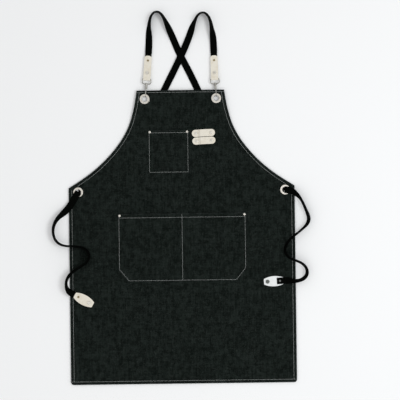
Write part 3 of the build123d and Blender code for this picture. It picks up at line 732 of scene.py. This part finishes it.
# cords: shoulder straps and waist ties
tapeSettings = {"half": 10.0, "thick": 1.2, "step": 2.2, "columns": 6, "flutter": 0.012, "edge": 0.35}
shoulderRoutes = {
    "left": [
        (-92.2, -109.7, 2.5, 0), (-90.3, -140, 0.9, 3), (-90.4, -165, 3, 20), (-90.2, -184, 8, 52),
        (-88.3, -202, 9.7, 62), (-84.4, -218, 10, 66), (-76, -229, 10, 66), (-64, -232.5, 10, 66),
        (-53, -225, 10, 66), (-44.5, -211, 9.6, 62), (-36.5, -193, 7, 42), (-28.5, -174, 2.9, 15),
        (-19, -152, 0.7, 1), (-3, -112, 0.6, 0), (13.5, -80, 0.6, 0), (31.5, -44, 0.6, 0),
        (52, 0, 0.6, 0), (70, 42, 0.6, 0), (93, 85, 0.6, 0), (117, 134, 0.6, 0),
        (148, 182, 0.6, 0), (186, 226, 0.6, 0), (229, 264, 0.6, 0), (268, 287, 0.6, 0),
        (303, 296.6, 0.6, 0),
    ],
    "right": [
        (100.3, -108.3, 2.5, 0), (99.6, -138, 0.9, -3), (98, -160, 3, -20), (95.4, -178, 8, -52),
        (92.6, -198, 9.7, -62), (86.8, -215, 10, -66), (77, -226, 10, -66), (65, -227.5, 10, -66),
        (54, -220, 10, -66), (46.5, -206, 9.6, -62), (39.5, -190, 7, -42), (33, -171, 3.4, -15),
        (24.5, -148, 1.7, 0), (12.5, -120, 2.8, 0), (-4.5, -85, 2.8, 0), (-16.5, -61, 1.2, 0),
        (-29.5, -36, 0.6, 0), (-52, 8, 0.6, 0), (-70, 45, 0.6, 0), (-92, 88, 0.6, 0),
        (-118, 136, 0.6, 0), (-148, 181, 0.6, 0), (-186, 227, 0.6, 0), (-228, 263, 0.6, 0),
        (-268, 288, 0.6, 0), (-303, 296.6, 0.6, 0),
    ],
}
tieRoutes = {
    "left": [
        (-304, 296, 4.9, 0), (-311, 307, 5.3, 2), (-318.5, 320, 5.4, 4), (-328, 335, 5.2, 8),
        (-339, 349, 6.6, 12), (-351, 360, 8.3, 38), (-364, 371, 8.8, 58), (-375, 387, 9.7, 70),
        (-380, 405, 10, 74), (-378.8, 423, 10, 77), (-372.5, 439, 9.9, 77), (-360, 450, 9.9, 77),
        (-343, 454.5, 12.9, 77), (-325, 455.5, 13.5, 76), (-306, 457, 13.6, 74), (-288.5, 462, 13.8, 74),
        (-276.5, 472, 13.6, 76), (-273, 487, 13.6, 76), (-279.5, 502, 13.6, 74), (-293, 512, 13.5, 72),
        (-309.4, 521.4, 13.4, 70), (-325, 532, 13.3, 68), (-337, 545, 13.1, 68), (-343.5, 561, 12.8, 74),
        (-342.5, 576, 12.6, 70), (-337.5, 587, 11.2, 50), (-329.5, 593.5, 7.8, 24), (-320.6, 598.2, 4.2, 0),
    ],
    "right": [
        (304, 297, 4.9, 0), (316, 298.5, 7, -10), (328.5, 303, 10.4, -34), (340, 313, 12.2, -58),
        (350.5, 325, 10.4, -73), (358, 340, 10.3, -73), (364.5, 356, 10.2, -72), (371, 371, 9.9, -66),
        (373.8, 386, 9.7, -62), (368, 400, 9.9, -68), (355, 412.5, 10.4, -77), (340.5, 424, 13, -77),
        (325, 436, 13.6, -76), (311.5, 449, 13.6, -74), (302.5, 464, 13.6, -74), (301, 480, 13.4, -74),
        (308.5, 493.5, 13.5, -74), (322.5, 502, 13.5, -72), (339, 508, 13.3, -70), (354.5, 516, 11.3, -70),
        (365, 529, 10.1, -70), (367, 545, 10, -68), (358, 558.5, 10.9, -64), (343, 565, 12.9, -68),
        (328, 566.6, 12.1, -58), (314.5, 564.6, 8.8, -28), (302.6, 564.8, 6.1, 0),
    ],
}
leanScale = 100.0  # keeps the leans' own curve small


def sampleCurve(name, points, resolution=16):  # a smooth curve's own points through the given knots
    curve = bpy.data.curves.new(name, "CURVE")
    curve.dimensions = "3D"
    curve.resolution_u = resolution
    spline = curve.splines.new("NURBS")
    spline.points.add(len(points) - 1)
    for knot, point in zip(spline.points, points):
        knot.co = (*point, 1)
    spline.order_u = 3
    spline.use_endpoint_u = True
    carrier = bpy.data.objects.new(name, curve)
    bpy.context.scene.collection.objects.link(carrier)
    bpy.context.view_layer.update()
    graph = bpy.context.evaluated_depsgraph_get()
    mesh = bpy.data.meshes.new_from_object(carrier.evaluated_get(graph), depsgraph=graph)
    found = [vert.co.copy() for vert in mesh.vertices]
    bpy.data.objects.remove(carrier)
    bpy.data.meshes.remove(mesh)
    return found


def stationsAlong(name, route):  # evenly spaced (centre, along, across, rise, distance) down a strap
    centres = sampleCurve(name, [at(x, drop, z) for x, drop, z, lean in route])
    leanKnots = [(lean / leanScale, 0, 0) for *rest, lean in route]
    leans = [p.x * leanScale for p in sampleCurve(name + "Lean", leanKnots)]
    reach = [0.0]
    for a, b in zip(centres, centres[1:]):
        reach.append(reach[-1] + (b - a).length)
    count = round(reach[-1] / (tapeSettings["step"] * mm))
    spots, leanAt, index = [], [], 0
    for i in range(count + 1):
        want = reach[-1] * i / count
        while index < len(reach) - 2 and reach[index + 1] < want:
            index += 1
        t = (want - reach[index]) / max(1e-9, reach[index + 1] - reach[index])
        spots.append(centres[index].lerp(centres[index + 1], min(1.0, t)))
        leanAt.append(leans[index] + (leans[index + 1] - leans[index]) * min(1.0, t))
    stations = []
    for i, spot in enumerate(spots):
        along = (spots[min(i + 1, count)] - spots[max(i - 1, 0)]).normalized()
        level = along.cross(Vector((0, 0, 1))).normalized()
        rise = level.cross(along)
        tilt = math.radians(leanAt[i])
        across = level * math.cos(tilt) + rise * math.sin(tilt)
        stations.append((spot, along, across, across.cross(along), reach[-1] * i / count))
    return stations


def tape(name, stations):  # a flat woven strap, one closed skin
    half, last = tapeSettings["half"] * mm, len(stations) - 1

    def place(across, along):
        spot, forward, sideways, rise, distance = stations[round(along * last)]
        flutter = 1 + tapeSettings["flutter"] * math.sin(distance / mm / 13)
        return spot + sideways * ((2 * across - 1) * half * flutter)

    work = clothGrid(tapeSettings["columns"], last, place, (2 * half, stations[-1][4]))
    piece = finishPiece(name, work, webbing, "webbing")
    return thicken(piece, tapeSettings["thick"], bevel=tapeSettings["edge"])


def strapLength(stations):
    return stations[-1][4]


straps, ties = {}, {}
for side in sides:
    straps[side] = stationsAlong(side + "Shoulder", shoulderRoutes[side])
    ties[side] = stationsAlong(side + "Tie", tieRoutes[side])
    print(side, "shoulder", round(strapLength(straps[side]), 4), "tie", round(strapLength(ties[side]), 4))
print("straps laid out")


# cloth: panel, hems and pockets
panelSettings = {"ply": 1.0, "spacing": 4.4, "cut": 11.0, "ring": 10.6, "hemWidth": 12.0, "hemPly": 1.35}
eyeletPlaces = {"Bib": (105.5, 25.0), "Waist": (305.0, 297.0)}


def ladder(start, end, steps, spacing):  # stations that bunch up at both ends
    middle = max(1, round((end - start - 2 * steps[-1]) / spacing))
    inner = [start + steps[-1] + (end - start - 2 * steps[-1]) * i / middle for i in range(middle + 1)]
    return [start + s for s in steps[:-1]] + inner + [end - s for s in reversed(steps[:-1])]


def clothPoint(side, inset, drop):  # a point at an inset from one edge, lying on the cloth's front
    x, down = inside(drop, inset)
    return side * x, down, inset, drop


def panelPoint(share, drop, insets, inner):  # share runs over the insets at each edge and evenly between them
    across = share
    if across < len(insets):
        return clothPoint(-1, insets[across], drop)
    last = 2 * len(insets) + inner - 1
    if last - across < len(insets):
        return clothPoint(1, insets[last - across], drop)
    x, down = inside(drop, insets[-1])
    t = (across - len(insets) + 1) / (inner + 1)
    return (2 * t - 1) * x, down, insets[-1] + min(t, 1 - t) * 2 * x, drop


def edgeDistance(x, drop):  # to the nearest edge of the apron
    lean = edgeAngle(drop)
    return min((plainHalfWidth(drop) - abs(x)) * math.cos(lean), drop, outline["length"] - drop)


def seamWear(co):  # rubbed pale where the cloth turns over an edge
    x, drop = co.x / mm, (bibTopY - co.y) / mm
    inset = edgeDistance(x, drop)
    patch = 0.5 + noise.noise(Vector((x / 24, drop / 24, 5.0)))
    return max(0.0, 1 - inset / 2.2) * 0.75 * max(0.0, patch)


def cutEyelets(work):  # opens the cloth under each eyelet's flange
    for x, drop in [(s * x, drop) for x, drop in eyeletPlaces.values() for s in (-1, 1)]:
        centre, cut = at(x, drop), panelSettings["cut"] * mm
        gone = [f for f in work.faces if (f.calc_center_median() - centre).xy.length < cut]
        bmesh.ops.delete(work, geom=gone, context="FACES")
        for edge in [e for e in work.edges if e.is_boundary]:
            for vert in edge.verts:
                away = (vert.co - centre).xy
                if away.length < (panelSettings["cut"] + 5) * mm:
                    spot = centre.xy + away.normalized() * panelSettings["ring"] * mm
                    vert.co.x, vert.co.y = spot


def makePanel():
    insets = [0.0] + edgeSteps
    inner = round(2 * outline["sideHalf"] / panelSettings["spacing"])
    columns = 2 * len(insets) + inner - 1
    rows = ladder(0.0, outline["length"], [0.0] + rowSteps, panelSettings["spacing"])

    def place(across, along):
        row = rows[round(along * (len(rows) - 1))]
        x, down, inset, drop = panelPoint(round(across * columns), row, insets, inner)
        inset = min(inset, drop + 3.0, outline["length"] - drop)
        run = drop if inset > 19 or abs(x) > plainHalfWidth(drop) - 25 else x
        return at(x, down, clothHeight(x, down, inset, run))

    work = clothGrid(columns, len(rows) - 1, place)
    cutEyelets(work)
    panel = finishPiece("canvasPanel", work, canvas, "canvas", wear=seamWear)
    return thicken(panel, panelSettings["ply"], offset=-1.0, bevel=0.3)


def makeHem(name, spot, length, width):  # the folded ply under an edge; spot gives x, drop and inset
    def place(across, along):
        x, drop, inset = spot(across * width, along)
        return at(x, drop, clothHeight(x, drop, inset, drop) - panelSettings["ply"] - 0.05)

    work = clothGrid(3, round(length / 6), place)
    return thicken(finishPiece(name, work, canvas, "canvas"), panelSettings["hemPly"], offset=-1.0)


def makeHems():
    width, length = panelSettings["hemWidth"], outline["length"]
    hems = {}

    def sideSpot(side, start, end):
        def spot(inset, along):
            drop = start + (end - start) * along
            x, down = inside(drop, inset + 0.3)
            return side * x, down, inset

        return spot

    for side, sign in sides.items():
        hems[side + "_armhole_hem"] = makeHem(side + "ArmholeHem", sideSpot(sign, 0.4, 283), 283, width)
        hems[side + "_side_hem"] = makeHem(side + "SideHem", sideSpot(sign, 298, length - 13), 550, width)
    topHalf, bottomHalf = halfWidth(6) - width - 2.5, outline["sideHalf"] - 1.0

    def topSpot(inset, along):
        return (2 * along - 1) * topHalf, inset + 0.4, inset

    def bottomSpot(inset, along):  # a little narrower at the corners' rounding
        return (2 * along - 1) * bottomHalf * (1 - 0.008 * (1 - inset / width)), length - 0.4 - inset, inset

    hems["top_hem"] = makeHem("topHem", topSpot, 2 * topHalf, width)
    hems["bottom_hem"] = makeHem("bottomHem", bottomSpot, 2 * bottomHalf, width)
    return hems


chestPocket = {
    "name": "chestPocket", "left": -96.0, "right": 22.5, "mouth": 118.5, "bottom": 243.5, "hem": 6.5,
    "cells": [(-96.0, 22.5)], "gape": 3.6, "cut": (0.0, 0.0), "node": "chest_pocket", "seed": 2.0,
}
lowerPocket = {
    "name": "lowerPocket", "left": -189.0, "right": 189.0, "mouth": 363.0, "bottom": 563.0, "hem": 11.5,
    "cells": [(-189.0, 0.0), (0.0, 189.0)], "gape": 4.4, "cut": (29.0, 35.0), "node": "lower_pocket",
    "seed": 6.0,
}
pocketSettings = {"ply": 0.9, "lift": 0.12, "seam": 3.4, "spacing": 3.2, "fall": 95.0, "hemPly": 0.7}
pocketSteps = [0.0, 0.8, 2.0, 3.4, 5.0, 7.0, 9.5, 12.5]


def pocketInset(pocket, x, drop):  # distance to the nearest sewn edge or divider
    found = [x - pocket["left"], pocket["right"] - x, pocket["bottom"] - drop]
    if pocket["cut"][0]:
        dx, dy = pocket["cut"]
        for side in (x - pocket["left"], pocket["right"] - x):
            found.append((side / dx + (pocket["bottom"] - drop) / dy - 1) * dx * dy / math.hypot(dx, dy))
    return min(found)


def pocketFront(pocket, x, drop):  # the pocket's front, in millimetres off the table
    settings = pocketSettings
    inset = pocketInset(pocket, x, drop)
    divider = min([abs(x - low) for low, high in pocket["cells"][1:]] + [99.0])
    free = smooth(settings["seam"], 34, min(inset, divider))
    below = drop - pocket["mouth"]
    openness = 1 - smooth(-20, settings["fall"], below)
    soft = 0.6 + noise.noise(Vector((x / 46, drop / 40, pocket["seed"])))
    lift = free * (pocket["gape"] * openness * (0.75 + 0.35 * soft) + 0.9 * max(0.0, soft))
    groove = -0.3 * math.exp(-((min(inset, divider + settings["seam"]) - settings["seam"]) / 1.1) ** 2)
    step = 0.35 if drop < pocket["mouth"] + pocket["hem"] else 0.0
    hem = step - 0.25 * math.exp(-((below - pocket["hem"]) / 1.3) ** 2)
    pucker = 0.14 * (1 + math.sin((x + drop) / 1.7)) * math.exp(-((inset - 6) / 4) ** 2)
    base = clothHeight(x, drop, 99.0, drop)
    return base + settings["lift"] + settings["ply"] + max(0.0, lift + groove + pucker + max(0.0, hem))


def makePocket(pocket):
    settings = pocketSettings
    columns = ladder(pocket["left"], pocket["right"], pocketSteps, settings["spacing"])
    rows = ladder(pocket["mouth"], pocket["bottom"], pocketSteps, settings["spacing"])
    dx, dy = pocket["cut"]

    def place(across, along):
        x, drop = columns[round(across * (len(columns) - 1))], rows[round(along * (len(rows) - 1))]
        if dx and drop > pocket["bottom"] - dy:  # squeeze the rows into the cut corners
            half = (pocket["right"] - pocket["left"]) / 2
            x *= 1 - dx * (drop - pocket["bottom"] + dy) / dy / half
        return at(x, drop, pocketFront(pocket, x, drop))

    def wear(co):
        x, drop = co.x / mm, (bibTopY - co.y) / mm
        edge = min(pocketInset(pocket, x, drop), drop - pocket["mouth"])
        patch = 0.5 + noise.noise(Vector((x / 20, drop / 20, pocket["seed"])))
        return max(0.0, 1 - edge / 1.8) * 0.85 * max(0.0, patch)

    work = clothGrid(len(columns) - 1, len(rows) - 1, place)
    piece = finishPiece(pocket["name"], work, canvas, "canvas", wear=wear)
    thicken(piece, settings["ply"], offset=-1.0, bevel=0.25)

    def hemPlace(across, along):
        x = pocket["left"] + 7 + (pocket["right"] - pocket["left"] - 14) * across
        drop = pocket["mouth"] + 0.3 + pocket["hem"] * 0.96 * along
        return at(x, drop, pocketFront(pocket, x, drop) - settings["ply"] - 0.04)

    hem = clothGrid(len(columns) - 1, 4, hemPlace)
    hemPiece = finishPiece(pocket["name"] + "MouthHem", hem, canvas, "canvas")
    return piece, thicken(hemPiece, settings["hemPly"], offset=-1.0)


panel = makePanel()
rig.replaces(panel, "body_panel")
hems = makeHems()
for node, hem in hems.items():
    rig.replaces(hem, node)
pockets = {}
for pocket in (chestPocket, lowerPocket):
    pockets[pocket["name"]] = makePocket(pocket)
    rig.replaces(pockets[pocket["name"]][0], pocket["node"])
for piece in [panel, *hems.values(), *[p for pair in pockets.values() for p in pair]]:
    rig.ride(piece, "root")
print("cloth made")


# stitching
stitchSettings = {"length": 3.0, "pitch": 3.95, "thick": 0.42, "high": 0.36}


def stitchMesh():
    work = bmesh.new()
    settings = stitchSettings
    scale = Matrix.Diagonal((settings["length"] / 2 * mm, settings["thick"] * mm, settings["high"] * mm, 1))
    lying = Matrix.Rotation(math.pi / 2, 4, "Y")
    bmesh.ops.create_uvsphere(work, u_segments=6, v_segments=5, radius=1, matrix=lying)
    bmesh.ops.transform(work, matrix=scale, verts=work.verts)
    mesh = bpy.data.meshes.new("stitch")
    work.to_mesh(mesh)
    work.free()
    return mesh


oneStitch = stitchMesh()


def sew(work, path, seed=0):  # stitches along points that lie on the cloth
    reach = [0.0]
    for a, b in zip(path, path[1:]):
        reach.append(reach[-1] + (b - a).length)
    count = max(1, int(reach[-1] / (stitchSettings["pitch"] * mm)))
    index = 0
    for i in range(count):
        want = reach[-1] * (i + 0.5) / count
        while index < len(reach) - 2 and reach[index + 1] < want:
            index += 1
        t = (want - reach[index]) / max(1e-9, reach[index + 1] - reach[index])
        spot, along = path[index].lerp(path[index + 1], t), (path[index + 1] - path[index]).normalized()
        across = Vector((0, 0, 1)).cross(along).normalized()
        up = along.cross(across)
        skew = 0.06 * noise.noise(Vector((i * 0.7, seed, 0)))
        turn = Matrix.Rotation(skew, 3, up) @ Matrix((along, across, up)).transposed()
        few = len(work.verts)
        work.from_mesh(oneStitch)
        work.verts.ensure_lookup_table()
        bmesh.ops.transform(work, matrix=Matrix.Translation(spot) @ turn.to_4x4(), verts=work.verts[few:])


def sewRuns(name, runs):
    whole = bmesh.new()
    for seed, run in enumerate(runs):
        work = bmesh.new()
        sew(work, run, seed)
        addTo(whole, work)
    piece = finishPiece(name, whole, thread, "thread", sharp=0)
    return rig.ride(piece, "root")


def dense(a, b, height, step=2.5):  # points from a to b (x, drop) at a height function
    count = max(2, round(math.dist(a, b) / step))
    spots = [(a[0] + (b[0] - a[0]) * i / count, a[1] + (b[1] - a[1]) * i / count) for i in range(count + 1)]
    return [at(x, drop, height(x, drop)) for x, drop in spots]


def edgeRun(side, inset, start, end):
    spots = []
    for i in range(int((end - start) / 2.5) + 1):
        drop = start + 2.5 * i
        x, down = inside(drop, inset)
        spots.append(at(side * x, down, clothHeight(x * side, down, inset, drop) + 0.1))
    return spots


def bodyRuns():
    seam, length = clothSettings["seam"], outline["length"]
    runs = []
    for sign in sides.values():
        runs += [edgeRun(sign, seam, 6, 280), edgeRun(sign, seam, 291, length - 9)]

    def height(x, drop):
        return clothHeight(x, drop, 6.0, x) + 0.1

    topHalf, bottomHalf = halfWidth(6) - 1.5, outline["sideHalf"] - 3
    runs.append(dense((-topHalf, 6), (topHalf, 6), height))
    runs.append(dense((-bottomHalf, length - seam), (bottomHalf, length - seam), height))
    return runs


def pocketRuns(pocket, inset):
    def height(x, drop):
        return pocketFront(pocket, x, drop) + 0.08

    left, right = pocket["left"] + inset, pocket["right"] - inset
    top, bottom = pocket["mouth"] + pocket["hem"], pocket["bottom"] - inset
    dx, dy = pocket["cut"]
    runs = [dense((left, top), (right, top), height)]
    if dx:
        corner = [(left, pocket["mouth"] + 1), (left, bottom - dy + 1.4), (left + dx - 1, bottom)]
        corner += [(right - dx + 1, bottom), (right, bottom - dy + 1.4), (right, pocket["mouth"] + 1)]
        runs.append(dense((0, pocket["mouth"] + 1), (0, bottom), height))
    else:
        corner = [(left, top), (left, bottom), (right, bottom), (right, top)]
    return runs + [dense(a, b, height) for a, b in zip(corner, corner[1:])]


bodyStitch = sewRuns("bodyTopstitch", bodyRuns())
chestStitch = sewRuns("chestPocketStitch", pocketRuns(chestPocket, 2.6))
lowerStitch = sewRuns("lowerPocketStitch", pocketRuns(lowerPocket, 3.2))
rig.replaces(bodyStitch, "body_topstitch")
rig.replaces(chestStitch, "chest_pocket_stitch")
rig.replaces(lowerStitch, "lower_pocket_stitch")
print("stitching made")


# CAD pieces that stay: metal and leather get their finishes and softened edges
cadFinishes = {
    "eyelet_metal": (eyeletMetal, 0.3), "clip_metal": (clipMetal, 0.25), "rivet_metal": (rivetMetal, 0.2),
    "leather": (leather, 0.4), "leather_back": (fleshLeather, 0.4),
}
kept = {
    "eyelet_metal": ["_bib_eyelet", "_bib_washer", "_waist_eyelet", "_waist_washer"],
    "clip_metal": ["_snap_hook", "_snap_bolt", "_swivel_eye"],
    "rivet_metal": ["_tab_large_rivet", "_tab_small_rivet", "_end_tab_rivet", "_end_tab_snap"],
    "leather": ["_clip_tab", "_end_tab"],
}


def dress(node, material, softness, keepSlot):
    piece = frame["nodes"][node]
    piece.data.materials.clear()
    piece.data.materials.append(material)
    edge = piece.modifiers.new("edge", "BEVEL")
    edge.width, edge.segments = softness * mm, 2
    edge.limit_method, edge.angle_limit = "ANGLE", math.radians(40)
    edge.use_clamp_overlap = True
    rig.slot(piece, keepSlot)


for slot, endings in kept.items():
    for ending in endings:
        for side in sides:
            material, softness = cadFinishes[slot]
            if (side, ending) == ("right", "_end_tab"):
                material = fleshLeather
            if ending in ("_tab_small_rivet", "_end_tab_rivet"):
                material = brassMetal
            if side == "right" and ending in ("_end_tab_rivet", "_end_tab_snap"):
                material = gunMetal
            dress(side + ending, material, softness, "leather_back" if material is fleshLeather else slot)
for node in ("upper_pen_strip", "lower_pen_strip"):
    dress(node, leather, 0.4, "leather")
for node in ("pocket_rivet_caps", "pocket_rivet_backs", "pen_strip_rivets"):
    dress(node, rivetMetal, 0.2, "rivet_metal")
print("metal and leather dressed")


# short webbing ends and the folds through the waist eyelets
def straightStations(a, b, across, width):  # evenly spaced stations of a straight strap
    count = max(2, round((b - a).length / (tapeSettings["step"] * mm)))
    along = (b - a).normalized()
    across = (across - along * across.dot(along)).normalized() * width
    rise = across.cross(along).normalized()
    return [(a.lerp(b, i / count), along, across, rise, (b - a).length * i / count) for i in range(count + 1)]


clipSettings = {
    "left": {"origin": (-103.4, 23.8), "hookTurn": -5.2, "tabTurn": -4.3},
    "right": {"origin": (106.9, 25.4), "hookTurn": 5.2, "tabTurn": 1.0},
}
barAlong, clipHeight, tabSlope = 57.5, 5.4, 2.1
leafSettings = {
    "left": {"origin": (-318.8, 599.2), "turn": -29.4, "low": 4.75, "rivet": 12.5, "level": -0.65},
    "right": {"origin": (300.0, 564.8), "turn": 183.0, "low": 3.1, "rivet": 14.0, "level": 2.85},
}


def tabPoint(settings, forward, above=0.0):  # a point along a clip's tab, measured from the clip's origin
    hook, tab, slope = (math.radians(a) for a in (settings["hookTurn"], settings["tabTurn"], tabSlope))
    x, drop = settings["origin"]
    bar = at(x - math.sin(hook) * barAlong, drop - math.cos(hook) * barAlong, clipHeight)
    level = (forward - barAlong) * math.cos(slope)
    down = (forward - barAlong) * math.sin(slope)
    return bar + Vector((-math.sin(tab) * level, math.cos(tab) * level, above - down)) * mm


def leafPoint(settings, forward):
    turn = math.radians(settings["turn"])
    x, drop = settings["origin"]
    height = settings["low"] + settings["level"]
    return at(x + math.cos(turn) * forward, drop - math.sin(turn) * forward, height)


springSettings = {
    "start": 30.3, "end": 36.7, "height": 1.9, "radius": 0.78, "wire": 0.15, "turns": 8, "keep": 0.14,
}


def hookFrame(settings):  # the clip's own axes as a matrix, its length along Z
    turn = math.radians(settings["hookTurn"])
    along = Vector((-math.sin(turn), math.cos(turn), 0))
    across = Vector((math.cos(turn), math.sin(turn), 0))
    axes = Matrix((across, along.cross(across), along)).transposed().to_4x4()
    return Matrix.Translation(at(*settings["origin"], springSettings["height"])) @ axes, along


def makeSpring(side):  # a coil behind the snap bolt, which shortens as the bolt slides back
    settings, steps = springSettings, 12 * springSettings["turns"]
    base, along = hookFrame(clipSettings[side])
    rise = (settings["end"] - settings["start"] - 2 * settings["wire"]) / steps
    work = bmesh.new()
    sideways = Matrix.Translation((settings["radius"] * mm, 0, (settings["start"] + settings["wire"]) * mm))
    turned = sideways @ Matrix.Rotation(math.pi / 2, 4, "X")
    ring = bmesh.ops.create_circle(work, segments=6, radius=settings["wire"] * mm, matrix=turned)["verts"]
    loop = list({edge for vert in ring for edge in vert.link_edges})
    bmesh.ops.spin(
        work, geom=ring + loop, cent=(0, 0, 0), axis=(0, 0, 1), dvec=(0, 0, rise * mm),
        angle=math.tau * settings["turns"], steps=steps
    )
    bmesh.ops.holes_fill(work, edges=[edge for edge in work.edges if edge.is_boundary], sides=6)
    bmesh.ops.recalc_face_normals(work, faces=work.faces)
    bmesh.ops.transform(work, matrix=base, verts=work.verts)
    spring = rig.ride(finishPiece(side + "BoltSpring", work, clipMetal, "clip_metal"), side + "_hook")
    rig.replaces(spring, side + "_bolt_spring")
    anchor = base @ Vector((0, 0, settings["end"] * mm))
    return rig.squash(spring, side + "_bolt_slide", along, anchor, settings["keep"])


for side in sides:
    makeSpring(side)
print("springs made")

tabWebs, leafWebs = {}, {}
for side, sign in sides.items():
    clip, leaf = clipSettings[side], leafSettings[side]
    turn = math.radians(clip["tabTurn"])
    across = Vector((math.cos(turn), math.sin(turn), 0))
    stations = straightStations(tabPoint(clip, 71), tabPoint(clip, 134), across, 0.95)
    tabWebs[side] = tape(side + "TabWebbing", stations)
    turn = math.radians(leaf["turn"])
    across = Vector((-math.sin(turn), math.cos(turn), 0))
    stations = straightStations(leafPoint(leaf, -1.0), leafPoint(leaf, leaf["rivet"] + 9), across, 0.95)
    leafWebs[side] = tape(side + "EndTabWebbing", stations)
    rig.replaces(tabWebs[side], side + "_tab_webbing")
    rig.replaces(leafWebs[side], side + "_end_tab_webbing")
    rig.ride(tabWebs[side], side + "_tab")
    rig.ride(leafWebs[side], side + "_leaf")
    dress(side + "_eyelet_fold", webbing, 0.6, "webbing")
print("webbing ends made")


# how the straps follow the clips and end tabs
bendSettings = {"runs": (24.0, 54.0, 112.0), "leafRun": 45.0}  # from the tab, and back from the end tab


def nearestStation(stations, distance):
    return min(range(len(stations)), key=lambda i: abs(stations[i][4] - distance * mm))


def strapRuns(stations, distances):  # the strap cut at these distances, each run sharing its end station
    cuts = [0] + [nearestStation(stations, d) for d in distances] + [len(stations) - 1]
    return [stations[low:high + 1] for low, high in zip(cuts, cuts[1:])]


def runLength(stations):
    return stations[-1][4] - stations[0][4]


for side in sides:
    atTab, atEye, atHook, rest = strapRuns(straps[side], bendSettings["runs"])
    bends = []
    chain = ((atTab, "AtTab", side + "_tab", side + "_eye"), (atEye, "AtEye", side + "_eye", side + "_hook"))
    for run, ending, low, high in (*chain, (atHook, "AtHook", side + "_hook", "root")):
        bends.append(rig.blend(tape(side + "Strap" + ending, run), low, high, run[0][0], run[-1][0]))
    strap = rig.ride(tape(side + "ShoulderStrap", rest), "root")
    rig.replaces(strap, side + "_shoulder_strap")
    line = [s[0] for s in rest]
    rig.cord(strap, line[0], runLength(rest), 0.02, "object", lay="loose", path=line, with_pieces=bends)

    rest, atLeaf = strapRuns(ties[side], [strapLength(ties[side]) / mm - bendSettings["leafRun"]])
    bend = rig.blend(tape(side + "TieAtEndTab", atLeaf), "root", side + "_leaf", atLeaf[0][0], atLeaf[-1][0])
    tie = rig.ride(tape(side + "WaistTie", rest), "root")
    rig.replaces(tie, side + "_waist_tie")
    ends = [frame["nodes"][side + ending] for ending in ("_end_tab", "_end_tab_rivet", "_end_tab_snap")]
    line = [s[0] for s in rest]
    pieces = [bend, leafWebs[side], *ends]
    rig.cord(tie, line[0], runLength(rest), 0.02, "fitting", lay="loose", path=line, with_pieces=pieces)
    print(side, "declared", round(runLength(rest), 4))
print("straps follow their clips")

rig.sheet(
    panel, (0.666, 0.865), "laid", rests_on=["floor"], area=0.49,
    with_pieces=[*hems.values(), bodyStitch],
)
for pocket, stitch in ((chestPocket, chestStitch), (lowerPocket, lowerStitch)):
    size = ((pocket["right"] - pocket["left"]) * mm, (pocket["bottom"] - pocket["mouth"]) * mm)
    cloth, hem = pockets[pocket["name"]]
    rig.sheet(cloth, size, "laid", rests_on=[panel.name], with_pieces=[hem, stitch])
print("cords and sheets declared")

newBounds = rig.bounds()
with open("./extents.json", "w") as out:
    json.dump({"cad": [list(c) for c in cadBox], "scene": [list(c) for c in newBounds]}, out)
